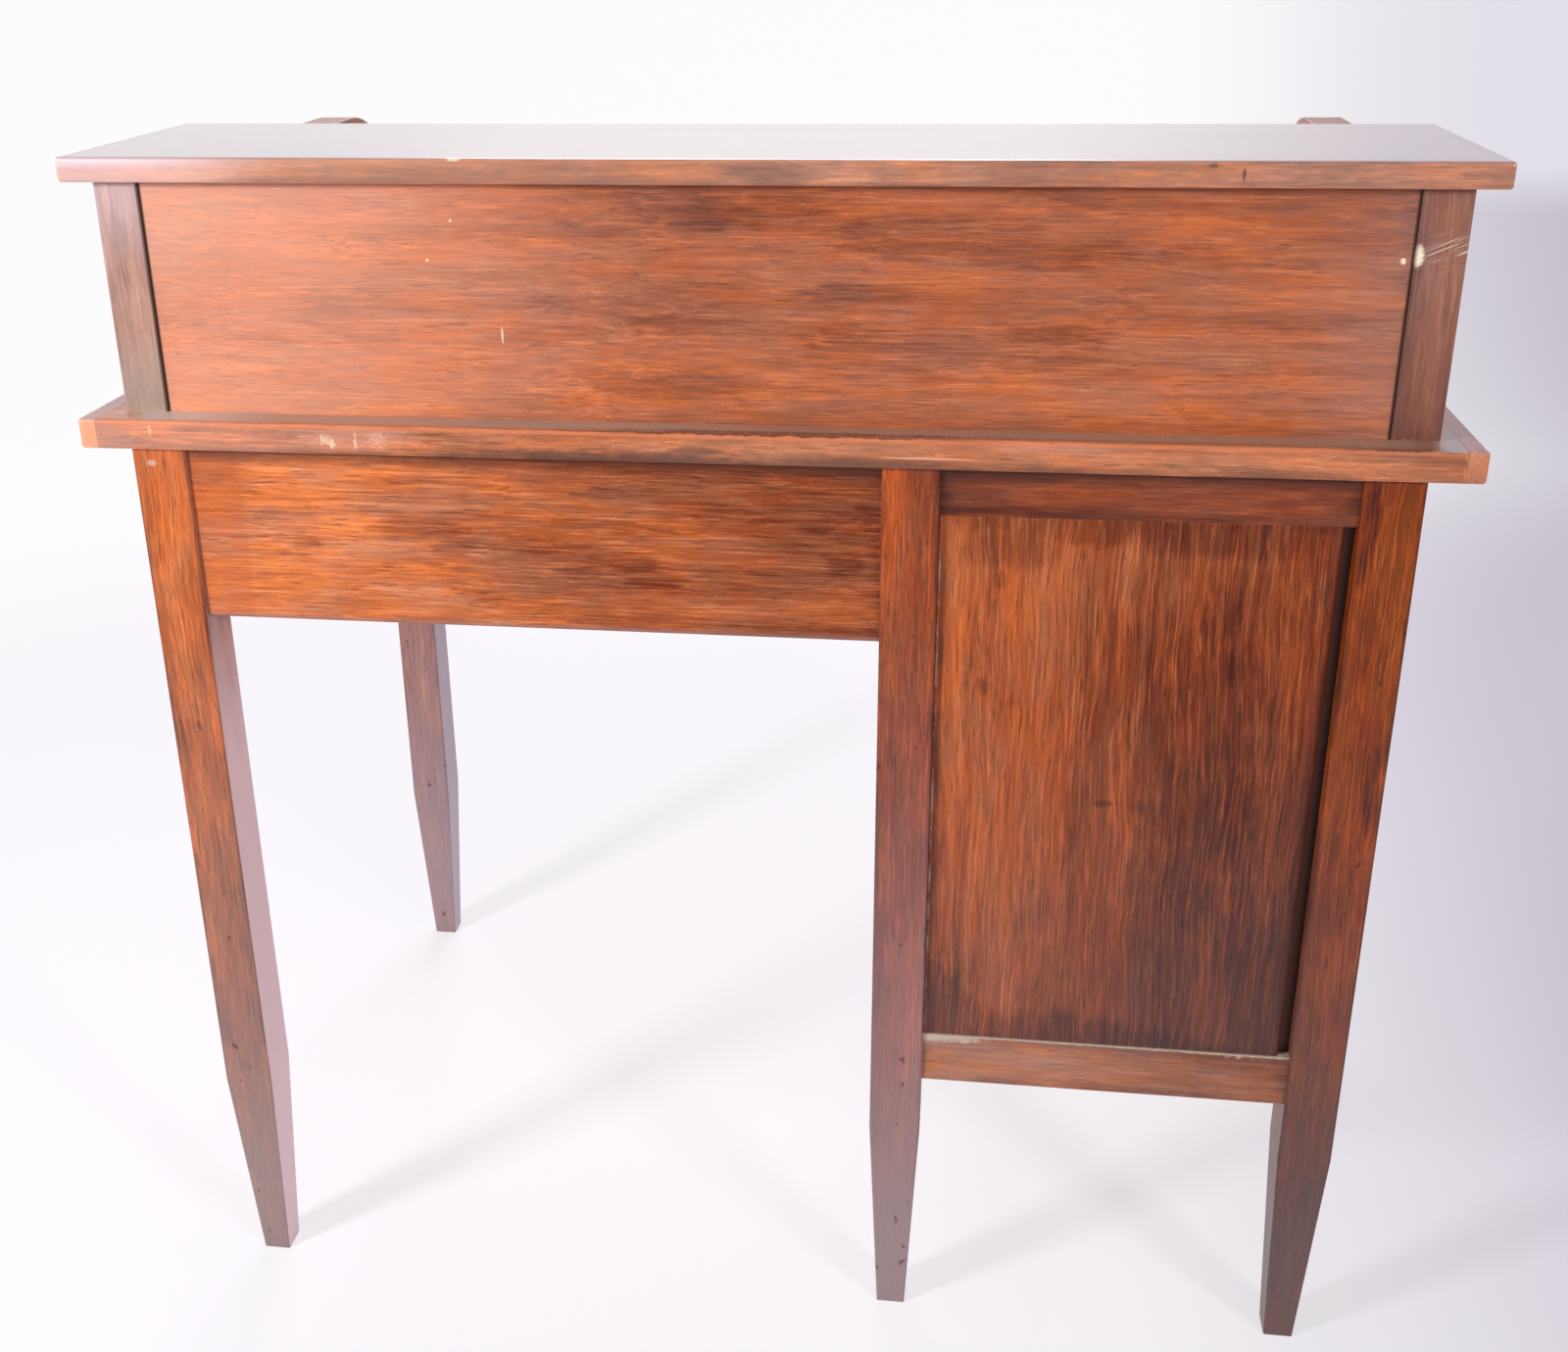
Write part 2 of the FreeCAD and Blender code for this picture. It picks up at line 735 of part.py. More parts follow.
def knob(name, radius, length, spigot_length, face_centre):
    """A knob turned about Y; it stands out towards -Y from the face that it is fixed to."""
    spigot_radius = radius / 3
    base_radius = radius * 0.7
    neck_radius = radius * 0.45
    crown_radius = radius * 0.6
    base_end = spigot_length + length * 0.12
    neck_end = spigot_length + length * 0.45
    rim_start = spigot_length + length * 0.65
    rim_end = spigot_length + length * 0.8
    crown = spigot_length + length
    body = doc.addObject("PartDesign::Body", name)
    profile = new_sketch(body, "XY_Plane", name + "_profile")
    outline(profile, [
        (ZERO, ZERO), (spigot_radius, ZERO), (spigot_radius, spigot_length),
        (base_radius, spigot_length), (base_radius, base_end), (neck_radius, base_end),
        (neck_radius, neck_end), (radius, rim_start), (radius, rim_end), (crown_radius, crown),
        (ZERO, crown)])
    turned = body.newObject("PartDesign::Revolution", name + "_turned")
    turned.Profile = profile
    turned.ReferenceAxis = (profile, ["V_Axis"])
    turned.Angle = 360.0
    body.Placement.Rotation = FreeCAD.Rotation(FreeCAD.Vector(0, 0, 1), 180)
    place(body, (face_centre[0], face_centre[1] + spigot_length, face_centre[2]))
    doc.recompute()
    return body


# ---------------------------------------------------------------------------------------------
# Drawers: front, two sides, back, and a bottom that lies in grooves
# ---------------------------------------------------------------------------------------------


def drawer_front(label, extent, corner, knob_places, hole_radius, groove_low, groove_size):
    """The front board: its hole for each knob, and the groove behind it for the bottom."""
    body = doc.addObject("PartDesign::Body", label)
    face = new_sketch(body, "XZ_Plane", label + "_face")
    rectangle(face, (ZERO, ZERO), (extent[0], extent[2]))
    for knob_place in knob_places:
        circle(face, (knob_place, extent[2] / 2), hole_radius)
    pad(body, face, extent[1])
    groove = new_sketch(body, "XZ_Plane", label + "_groove")
    rectangle(groove, groove_low, (extent[0] - groove_low[0], groove_low[1] + groove_size[1]))
    pocket(body, groove, groove_size[0], reverse=True)
    place(body, (corner[0], corner[1] + extent[1], corner[2]))
    return as_node(body, label)


def drawer_side(name, extent, corner, groove_lift, groove_size, inner_face_high):
    """One side board, with the groove for the bottom along its inner face."""
    body = doc.addObject("PartDesign::Body", name)
    profile = new_sketch(body, "YZ_Plane", name + "_profile")
    rectangle(profile, (ZERO, ZERO), (extent[1], extent[2]))
    pad(body, profile, extent[0])
    lift = extent[0] if inner_face_high else None
    groove = new_sketch(body, "YZ_Plane", name + "_groove", lift=lift)
    rectangle(groove, (ZERO, groove_lift), (extent[1], groove_lift + groove_size[1]))
    pocket(body, groove, groove_size[0], reverse=not inner_face_high)
    place(body, corner)
    return body


def drawer(prefix, left, right, bottom, top, front_y, depth, build, knob_size, knob_places):
    """A whole drawer for an opening; build holds how its boards are cut and put together."""
    gap = size.drawer_gap
    front_width = right - left - gap * 2
    front_height = top - bottom - gap * 2
    side_bottom = bottom + size.drawer_run_gap
    side_height = top - bottom - size.drawer_side_drop
    side_length = depth - build["front"]
    side_front = front_y + build["front"]
    inner_width = front_width - build["side"] * 2
    clearance = size.spigot_clearance
    groove_height = build["bottom"] + clearance * 2
    groove_size = (build["groove"], groove_height)
    bottom_z = side_bottom + build["lift"]
    drawer_front(
        f"{prefix}_front",
        (front_width, build["front"], front_height),
        (left + gap, front_y, bottom + gap),
        knob_places, knob_size[0] / 3 + clearance,
        (build["side"] - build["groove"], bottom_z - bottom - gap - clearance), groove_size)
    side_extent = (build["side"], side_length, side_height)
    right_side_x = right - gap - build["side"]
    back_bottom = bottom_z + build["bottom"] + clearance
    back_height = side_bottom + side_height - size.drawer_back_drop - back_bottom
    tongue = build["groove"] - clearance
    bottom_board = plain_board(
        f"{prefix}_bottom",
        (inner_width + tongue * 2, side_length + tongue, build["bottom"]),
        (left + gap + build["side"] - tongue, side_front - tongue, bottom_z))
    carcase = [
        drawer_side(
            f"{prefix}_side_left", side_extent, (left + gap, side_front, side_bottom),
            build["lift"] - clearance, groove_size, inner_face_high=True),
        drawer_side(
            f"{prefix}_side_right", side_extent, (right_side_x, side_front, side_bottom),
            build["lift"] - clearance, groove_size, inner_face_high=False),
        plain_board(
            f"{prefix}_back",
            (inner_width, build["back"], back_height),
            (left + gap + build["side"], side_front + side_length - build["back"], back_bottom)),
    ]
    if build["loose_bottom"]:
        group(f"{prefix}_carcase", carcase)
        as_node(bottom_board, f"{prefix}_bottom")
    else:
        group(f"{prefix}_tray", carcase + [bottom_board])
    middle_z = bottom + gap + front_height / 2
    group(f"{prefix}_knob", [
        knob(
            f"{prefix}_knob_{index}", knob_size[0], knob_size[1], build["front"],
            (left + gap + knob_place, front_y, middle_z))
        for index, knob_place in enumerate(knob_places, start=1)])


LARGE = {
    "front": size.drawer_front_thickness,
    "side": size.drawer_side_thickness,
    "back": size.drawer_back_thickness,
    "bottom": size.drawer_bottom_thickness,
    "lift": size.drawer_bottom_lift,
    "groove": size.drawer_groove_depth,
    "loose_bottom": True,
}
SMALL = {
    "front": size.small_front_thickness,
    "side": size.small_side_thickness,
    "back": size.small_back_thickness,
    "bottom": size.small_bottom_thickness,
    "lift": size.small_bottom_lift,
    "groove": size.small_groove_depth,
    "loose_bottom": False,
}
large_knob = (size.knob_radius, size.knob_length)
small_knob = (size.small_knob_radius, size.small_knob_length)

large_depth = rail_rear_inside - rail_front - size.drawer_rear_clearance
frieze_middle = kneehole_width / 2 - size.drawer_gap
drawer(
    "frieze_drawer", kneehole_left, kneehole_right, frieze_opening_bottom, frieze_opening_top,
    rail_front, large_depth, LARGE, large_knob,
    [frieze_middle - size.frieze_knob_to_middle, frieze_middle + size.frieze_knob_to_middle])

for opening_name, opening_bottom, opening_top in pedestal_openings:
    drawer(
        f"{opening_name}_drawer", pedestal_left, pedestal_right, opening_bottom, opening_top,
        rail_front, large_depth, LARGE, large_knob,
        [pedestal_width / 2 - size.drawer_gap])

# ---------------------------------------------------------------------------------------------
# Stationery nest under the gallery top: pigeonholes between two small drawers
# ---------------------------------------------------------------------------------------------
nest_floor = size.writing_height + size.nest_lift + size.nest_partition
nest_ceiling = size.writing_height + size.nest_height - size.nest_board
nest_inside_height = nest_ceiling - nest_floor
nest_inside_depth = size.nest_depth - size.nest_back_thickness
nest_width = gallery_inside * 2 - size.joint_gap * 2
bay_width = size.nest_bay_width
nest_hole_pitch = (gallery_inside - bay_width - size.nest_partition / 2) / 2

board(
    "nest_top",
    (nest_width, size.nest_depth, size.nest_board),
    (-nest_width / 2, nest_front, nest_ceiling))
board(
    "nest_bottom",
    (nest_width, size.nest_depth, size.nest_partition),
    (-nest_width / 2, nest_front, nest_floor - size.nest_partition))
board(
    "nest_plinth",
    (nest_width, size.nest_board, size.nest_lift),
    (-nest_width / 2, nest_front, size.writing_height))
board(
    "nest_back",
    (nest_width, size.nest_back_thickness, nest_inside_height),
    (-nest_width / 2, nest_front + nest_inside_depth, nest_floor))
group("nest_partitions", [
    plain_board(
        f"nest_partition_{step + 3}",
        (size.nest_partition, nest_inside_depth, nest_inside_height),
        (nest_hole_pitch * step - size.nest_partition / 2, nest_front, nest_floor))
    for step in (-2, -1, 0, 1, 2)])

bay_inside = gallery_inside - bay_width
shelf_z = nest_floor + size.nest_drawer_opening
small_depth = nest_inside_depth - size.small_drawer_rear_clearance
group("nest_shelves", [
    plain_board(
        f"nest_shelf_{side_name}",
        (bay_width, nest_inside_depth, size.nest_partition),
        (corner_x, nest_front, shelf_z))
    for side_name, corner_x in (("left", -gallery_inside), ("right", bay_inside))])

for side_name, bay_left, bay_right in (
        ("left", -gallery_inside, -bay_inside), ("right", bay_inside, gallery_inside)):
    drawer(
        f"nest_{side_name}_drawer", bay_left, bay_right, nest_floor, shelf_z,
        nest_front, small_depth, SMALL, small_knob,
        [bay_width / 2 - size.drawer_gap])

# ---------------------------------------------------------------------------------------------
# The roll, pushed back. Its leading rail and first slats are on the straight run under the
# gallery top, and its tail hangs behind the nest and turns forward beneath it. Canvas joins the
# slats on their inner side, so in a bend it keeps its length and the slats fan out from it.
# ---------------------------------------------------------------------------------------------
SLATS_ON_TOP = 8
SLATS_IN_TAIL = 20
QUARTER_TURN = math.pi / 2

roll_z = size.writing_height + groove_height
roll_front = gallery_top_front + size.roll_rail_setback
slats_front = roll_front + size.roll_rail_depth
tail_front = slats_front + size.slat_pitch * SLATS_ON_TOP
tongue_reach = gallery_inside + size.groove_depth - size.groove_end_clearance
inner_half = size.slat_thickness / 2


def roll_rail(label):
    """The leading rail, thinned at each end to a tongue that runs in the groove."""
    body = doc.addObject("PartDesign::Body", label)
    face = new_sketch(body, "XZ_Plane", label + "_face")
    full = tongue_reach * 2
    shoulder = size.groove_depth - size.groove_end_clearance / 2
    far_shoulder = full - shoulder
    cheek = (size.roll_rail_height - size.slat_thickness) / 2
    tongue_top = size.roll_rail_height - cheek
    outline(face, [
        (ZERO, cheek), (shoulder, cheek), (shoulder, ZERO), (far_shoulder, ZERO),
        (far_shoulder, cheek), (full, cheek), (full, tongue_top), (far_shoulder, tongue_top),
        (far_shoulder, size.roll_rail_height), (shoulder, size.roll_rail_height),
        (shoulder, tongue_top), (ZERO, tongue_top)])
    for side in (-1, 1):
        centre = tongue_reach + size.roll_knob_to_middle * side
        hole_radius = size.small_knob_radius / 3 + size.spigot_clearance
        circle(face, (centre, size.roll_rail_height / 2), hole_radius)
    pad(body, face, size.roll_rail_depth)
    place(body, (-tongue_reach, slats_front, roll_z - size.roll_rail_height / 2))
    return as_node(body, label)


def slat(name, centre_y, centre_z, turn=None):
    """One slat with rounded outer edges; turn is how far the groove has bent, in radians."""
    half_width = size.slat_width / 2
    low_corner = (-tongue_reach, centre_y - half_width, centre_z - inner_half)
    body = plain_board(
        name, (tongue_reach * 2, size.slat_width, size.slat_thickness), low_corner)
    top = size.slat_thickness.value
    rounded(
        body, name + "_round", size.slat_edge_radius,
        lambda middle, along: near(abs(along.x), 1) and near(middle.z, top))
    if turn is not None:
        across, upward = cosine(turn), sine(turn)
        degrees = turn * (-90.0 / QUARTER_TURN)
        body.Placement.Rotation = FreeCAD.Rotation(FreeCAD.Vector(1, 0, 0), degrees.value)
        bind(body, "Placement.Rotation.Angle", degrees)
        place(body, (
            -tongue_reach,
            centre_y - half_width * across - inner_half * upward,
            centre_z + half_width * upward - inner_half * across))
        doc.recompute()
    return body


bend = size.groove_rear_radius
upper_bend_y = gallery_front + groove_rear - bend
upper_bend_z = roll_z - bend
lower_bend_z = size.writing_height + size.groove_bottom_lift + bend
canvas_bend = bend - inner_half
bend_length = canvas_bend * QUARTER_TURN
hanging_length = upper_bend_z - lower_bend_z


def tail_slat(index):
    """A slat of the tail, at the place that the length of canvas before it gives."""
    name = f"tail_slat_{index + 1}"
    travel = tail_front + size.slat_pitch * (index + 0.5) - upper_bend_y
    if travel.value < 0:
        return slat(name, upper_bend_y + travel, roll_z)
    if travel.value < bend_length.value:
        turn = travel / canvas_bend
        return slat(
            name, upper_bend_y + bend * sine(turn), upper_bend_z + bend * cosine(turn), turn)
    travel = travel - bend_length
    if travel.value < hanging_length.value:
        turn = Length(repr(QUARTER_TURN), QUARTER_TURN)
        return slat(name, upper_bend_y + bend, upper_bend_z - travel, turn)
    travel = travel - hanging_length
    if travel.value < bend_length.value:
        turn = travel / canvas_bend + QUARTER_TURN
        return slat(
            name, upper_bend_y + bend * sine(turn), lower_bend_z + bend * cosine(turn), turn)
    turn = Length(repr(math.pi), math.pi)
    return slat(name, upper_bend_y - (travel - bend_length), lower_bend_z - bend, turn)


def tail_canvas(label):
    """The canvas of the tail: a band that follows the slats' inner faces round both bends."""
    body = doc.addObject("PartDesign::Body", label)
    band = new_sketch(body, "YZ_Plane", label + "_band")
    inner_bend = canvas_bend - size.canvas_thickness
    rear = upper_bend_y + canvas_bend
    top = roll_z - inner_half
    bottom = lower_bend_z - canvas_bend
    tail_length = size.slat_pitch * SLATS_IN_TAIL
    tail_end = upper_bend_y - (
        tail_front + tail_length - upper_bend_y - bend_length * 2 - hanging_length)
    inside = size.canvas_thickness
    bent_outline(band, [
        (tail_front, top, ZERO), (tail_front, top - inside, ZERO),
        (rear - inside, top - inside, inner_bend), (rear - inside, bottom + inside, inner_bend),
        (tail_end, bottom + inside, ZERO), (tail_end, bottom, ZERO),
        (rear, bottom, canvas_bend), (rear, top, canvas_bend)])
    pad(body, band, canvas_width)
    place(body, (-canvas_width / 2, ZERO, ZERO))
    return as_node(body, label)


roll_rail("roll_leading_rail")
group("roll_slats", [
    slat(f"slat_{index + 1}", slats_front + size.slat_pitch * (index + 0.5), roll_z)
    for index in range(SLATS_ON_TOP)])
group("roll_tail_slats", [tail_slat(index) for index in range(SLATS_IN_TAIL)])
canvas_width = gallery_inside * 2 - size.groove_end_clearance * 2
board(
    "roll_canvas",
    (canvas_width, size.slat_pitch * SLATS_ON_TOP, size.canvas_thickness),
    (-canvas_width / 2, slats_front, roll_z - inner_half - size.canvas_thickness))
tail_canvas("roll_tail_canvas")
group("roll_knobs", [
    knob(
        f"roll_knob_{index}", size.small_knob_radius, size.small_knob_length,
        size.roll_rail_depth / 2, (size.roll_knob_to_middle * side, roll_front, roll_z))
    for index, side in ((1, -1), (2, 1))])

# ---------------------------------------------------------------------------------------------
# Check every piece, then write each node to its own file
# ---------------------------------------------------------------------------------------------
doc.recompute()
for item in doc.Objects:
    assert "Invalid" not in item.State and "Error" not in item.State, f"{item.Name} failed"
labels = [node.Label for node in nodes]
assert len(set(labels)) == len(labels) <= 60, "each node needs a name of its own"
os.makedirs("parts", exist_ok=True)
for node in nodes:
    assert not node.Shape.isNull() and node.Shape.isValid(), f"{node.Label} has no sound shape"
    node.Shape.exportStep(f"parts/{node.Label}.step")
print(f"{len(nodes)} nodes written")
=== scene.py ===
# %% [markdown]
# # A bonheur du jour, from behind
# A small writing desk with a gallery of pigeonholes, a roll of slats and a pedestal of drawers. The
# CAD model already gives every piece its shape and place, so this script adds what it can't: the
# figure of the woods, worn edges, brass, canvas and light. Everything is in metres, in the frame of
# the CAD model: Z up, the plain back of the desk at +Y, the pedestal at -X.

# %% Load the frame
import math
from types import SimpleNamespace

import bpy
from mathutils import Matrix, Vector


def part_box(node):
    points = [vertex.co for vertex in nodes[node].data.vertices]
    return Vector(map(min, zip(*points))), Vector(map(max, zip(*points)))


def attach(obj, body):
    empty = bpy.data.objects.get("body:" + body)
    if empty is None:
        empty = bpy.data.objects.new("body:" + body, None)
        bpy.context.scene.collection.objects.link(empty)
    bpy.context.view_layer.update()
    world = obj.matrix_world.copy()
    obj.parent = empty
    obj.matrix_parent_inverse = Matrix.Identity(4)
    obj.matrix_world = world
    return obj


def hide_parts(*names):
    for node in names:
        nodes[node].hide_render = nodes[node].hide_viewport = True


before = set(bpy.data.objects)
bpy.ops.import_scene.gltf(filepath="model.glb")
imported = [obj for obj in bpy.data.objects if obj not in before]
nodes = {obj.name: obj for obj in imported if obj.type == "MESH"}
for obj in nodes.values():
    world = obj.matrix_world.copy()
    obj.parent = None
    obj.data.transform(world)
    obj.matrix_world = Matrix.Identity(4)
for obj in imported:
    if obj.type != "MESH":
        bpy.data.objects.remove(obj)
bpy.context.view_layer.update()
MM = 0.001
print("nodes", len(nodes))

# %% [markdown]
# ## The camera
# The camera stands behind the desk, a little to one side and above. A camera set by eye never lines
# up everywhere, so its place, turn and focal length were solved from the corners of the desk. The
# turn is a rotation vector, in radians, from a level view along -Y, and the focal length and the
# principal point are in pixels of the full image.

# %% Camera
IMAGE_WIDTH, IMAGE_HEIGHT = 1600, 1380
FOCAL_PIXELS = 1765.7
PRINCIPAL_POINT = (749.0, 640.7)
CAMERA_PLACE = (-0.1491, 1.4284, 1.0839)
CAMERA_TURN = Vector((0.3883, 0.1358, 0.0126))
LEVEL_VIEW = Matrix(((-1, 0, 0), (0, 0, -1), (0, -1, 0)))
SENSOR = 36.0

rows = Matrix.Rotation(CAMERA_TURN.length, 3, CAMERA_TURN) @ LEVEL_VIEW
right, down, forward = (Vector(row) for row in rows)
camera_data = bpy.data.cameras.new("camera")
camera = bpy.data.objects.new("camera", camera_data)
bpy.context.scene.collection.objects.link(camera)
turn = Matrix((right, -down, -forward)).transposed()
camera.matrix_world = Matrix.Translation(CAMERA_PLACE) @ turn.to_4x4()
camera_data.sensor_width = SENSOR
camera_data.lens = FOCAL_PIXELS / IMAGE_WIDTH * SENSOR
camera_data.shift_x = (IMAGE_WIDTH / 2 - PRINCIPAL_POINT[0]) / IMAGE_WIDTH
camera_data.shift_y = (PRINCIPAL_POINT[1] - IMAGE_HEIGHT / 2) / IMAGE_WIDTH
camera_data.clip_end = 30.0
bpy.context.scene.camera = camera
print("camera lens", round(camera_data.lens, 2))

# %% [markdown]
# ## Shader maths
# A wood finish is mostly arithmetic on noise: stretch it, threshold it, multiply it. Written as
# nodes that is hard to read, so a small class wraps a socket and lets plain expressions add the
# Math nodes. Everything else comes from one method that makes a node of any type.

# %% A socket with arithmetic


class Value:
    """A number that varies over a surface; arithmetic on it adds Math nodes."""

    def __init__(self, finish, socket):
        self.finish = finish
        self.socket = socket

    def math(self, operation, other=0.0, swapped=False):
        first, second = (other, self) if swapped else (self, other)
        return self.finish.value(
            "ShaderNodeMath", {"operation": operation}, {0: first, 1: second})

    def __add__(self, other):
        return self.math("ADD", other)

    def __sub__(self, other):
        return self.math("SUBTRACT", other)

    def __rsub__(self, other):
        return self.math("SUBTRACT", other, swapped=True)

    def __mul__(self, other):
        return self.math("MULTIPLY", other)

    def __truediv__(self, other):
        return self.math("DIVIDE", other)

    def __pow__(self, other):
        return self.math("POWER", other)

    def __abs__(self):
        return self.math("ABSOLUTE")

    def least(self, other):
        return self.math("MINIMUM", other)

    def most(self, other):
        return self.math("MAXIMUM", other)

    __radd__ = __add__
    __rmul__ = __mul__


print("arithmetic on sockets ready")

# %% A finish and its nodes


def linear(colour):
    """A display colour of 0 to 255 as the linear one that shaders work with."""
    parts = [part / 255 for part in colour]
    return [
        part / 12.92 if part <= 0.04045 else ((part + 0.055) / 1.055) ** 2.4 for part in parts]


def rgba(colour):
    return (*linear(colour), 1.0)


class Finish:
    """The nodes of a material, or of the room's light, under construction."""

    def __init__(self, owner):
        self.owner = owner
        owner.use_nodes = True
        self.tree = owner.node_tree
        self.tree.nodes.clear()

    def node(self, kind, settings=None, inputs=None):
        made = self.tree.nodes.new(kind)
        for name, setting in (settings or {}).items():
            if name == "stops":
                self.set_stops(made.color_ramp, setting)
            else:
                setattr(made, name, setting)
        for name, given in (inputs or {}).items():
            if isinstance(given, Value):
                given = given.socket
            if isinstance(given, bpy.types.NodeSocket):
                self.tree.links.new(given, made.inputs[name])
            else:
                made.inputs[name].default_value = given
        return made

    def set_stops(self, ramp, stops):
        while len(ramp.elements) < len(stops):
            ramp.elements.new(1.0)
        for element, (place, colour) in zip(ramp.elements, stops):
            element.position = place
            element.color = rgba(colour)

    def value(self, kind, settings=None, inputs=None, output=0):
        return Value(self, self.node(kind, settings, inputs).outputs[output])

    def place(self):
        """The point on the surface in the frame of the desk, in metres, as three values."""
        here = self.node("ShaderNodeTexCoord").outputs["Object"]
        split = self.node("ShaderNodeSeparateXYZ", inputs={0: here})
        return [Value(self, socket) for socket in split.outputs]

    def noise(self, x, y, z, detail=2.0, roughness=0.5):
        """Noise of 0 to 1; the three values say how fast it changes along each direction."""
        vector = self.node("ShaderNodeCombineXYZ", inputs={0: x, 1: y, 2: z}).outputs[0]
        return self.value("ShaderNodeTexNoise", inputs={
            "Vector": vector, "Scale": 1.0, "Detail": detail, "Roughness": roughness})

    def step(self, value, low, high):
        """A smooth step from 0 at low to 1 at high."""
        return self.value(
            "ShaderNodeMapRange", {"interpolation_type": "SMOOTHSTEP"},
            {"Value": value, "From Min": low, "From Max": high})

    def ramp(self, value, stops):
        return self.node(
            "ShaderNodeValToRGB", {"stops": stops}, {"Fac": value}).outputs["Color"]

    def mix(self, factor, first, second, blend="MIX"):
        """The first colour at factor 0 and the second, or the blend of both, at 1."""
        first, second = (
            given if isinstance(given, bpy.types.NodeSocket) else rgba(given)
            for given in (first, second))
        return self.node(
            "ShaderNodeMix", {"data_type": "RGBA", "blend_type": blend},
            {"Factor": factor, 6: first, 7: second}).outputs[2]

    def bump(self, height, distance, strength=1.0):
        return self.node("ShaderNodeBump", inputs={
            "Height": height, "Distance": distance, "Strength": strength}).outputs["Normal"]

    def shade(self, inputs):
        shader = self.node("ShaderNodeBsdfPrincipled", inputs=inputs)
        self.node("ShaderNodeOutputMaterial", inputs={"Surface": shader.outputs["BSDF"]})
        return self.owner


def new_finish(name):
    return Finish(bpy.data.materials.new(name))


print("shader helpers ready")

# %% [markdown]
# ## Edges and smudges
# Dirt gathers along the joints of old furniture and the polish wears through at its arrises, so a
# board needs a mask for its own edges. That could be painted, but the distance to the edges of the
# board's box says the same and stays sharp from near. The darkening along these edges is partly
# dirt and partly painted shade for the corners between parts. A stain that one board has and
# another hasn't is a soft ellipse. Noise makes its rim ragged, because a smooth rim looks painted
# on.

# %% Edges and smudges of a board


def nearest_arris(place, low, high):
    """Distance to the nearest arris of the box, in metres: the middle one of three gaps."""
    a, b, c = (
        (end - start) / 2 - abs(value - (start + end) / 2)
        for value, start, end in zip(place, low, high))
    return a.least(b).most(a.most(b).least(c))


def smudge(finish, place, centre, reach, ragged=0.35, wobble=None, axes="xz"):
    """A soft ellipse, 1 in its middle and 0 beyond its reach; centre and reach in millimetres."""
    squares = [
        ((place["xyz".index(axis)] - middle * MM) / (size * MM)) ** 2.0
        for axis, middle, size in zip(axes, centre, reach)]
    distance = squares[0] + squares[1]
    if wobble is not None:
        distance = distance + (wobble - 0.5) * (4 * ragged)
    return 1 - finish.step(distance, 0.05, 1.0)


print("masks ready")

# %% [markdown]
# ## Figure of the grain
# The desk is a reddish hardwood. Seen close, its figure is made of several things: clouds where the
# stain took unevenly, smaller mottling, growth bands, fine streaks, short dark flecks, hairlines,
# and pores that look like dashes. An image of wood would repeat and stretch. Noise that changes
# slowly along the grain and fast across it gives each of them at its real size on every board.

# %% Figure
GRAIN_AXES = {"x": (0, 1, 2), "y": (1, 0, 2), "z": (2, 0, 1)}

# Waves in a metre along the grain and across it, then the detail and roughness of the noise.
FIGURE = {
    "cloud": (6, 22, 5, 0.65), "mottle": (24, 80, 5, 0.7), "band": (5, 120, 3, 0.5),
    "streak": (18, 560, 5, 0.75), "fleck": (20, 440, 2, 0.5), "pore": (70, 1500, 1, 0.5),
    "hair": (42, 760, 3, 0.6), "warmth": (12, 50, 5, 0.7)}
RIPPLE = 6 * MM


def grain_figure(finish, place, grain, bend, seed):
    """The noises of FIGURE for one board, on grain that wanders by the bend, in metres."""
    along, across, deep = (place[index] for index in GRAIN_AXES[grain])
    along = along + seed
    wander = finish.noise(along * 3.2, across * 9, deep * 9) - 0.5
    ripple = finish.noise(along * 15, across * 30, deep * 30) - 0.5
    across = across + wander * bend + ripple * RIPPLE
    return SimpleNamespace(**{
        name: finish.noise(along * slow, across * fast, deep * fast, detail, roughness)
        for name, (slow, fast, detail, roughness) in FIGURE.items()})


print("figure", ", ".join(FIGURE))

# %% [markdown]
# ## Tones
# A stained board ranges from dark to light round one middle colour, and its red changes most and
# its blue least. So a board is described by its middle colour, by how far it spreads, and by how
# much of the spread each channel takes. The ends of the ramp go a little further, for rare dark and
# pale spots.

# %% Tones of a board
VIVID = (1.0, 0.68, 0.46)
DARKEST, PALEST = 3, 250


def shades(colour, spread, steps=(1.0, 0.8, 0.66)):
    """The dark, middle and light tones of one wood colour; spread is the step between them."""
    dark = [max(part - spread * step * 1.2, DARKEST) for part, step in zip(colour, steps)]
    light = [min(part + spread * step, PALEST) for part, step in zip(colour, steps)]
    return dark, colour, light


def beyond(colour, middle, share=0.4):
    """A tone still further from the middle one."""
    return [max(0, part + (part - other) * share) for part, other in zip(colour, middle)]


print("vivid example", shades((174, 98, 64), 46, VIVID))

# %% [markdown]
# ## Polished wood
# One recipe makes the finish of every board, so that they look cut from one tree, and its arguments
# make them differ. The noises add up to a tone, and stains, dirt and painted shade along the edges
# lower the tone instead of covering the figure. Amber and brown tints are multiplied in, which
# leaves the figure alone as well. Flecks, pores, hairlines, and grime with painted shade along the
# edges, are mixed over it in a shadow colour, the arrises wear through to the light tone, and marks
# that belong to one board come last. The polish is a thin coat, which shiny boards have more of.

# %% The wood recipe
AMBER = (272, 250, 176)
BROWN = (226, 256, 292)
SHADOW_SHARE = 0.42


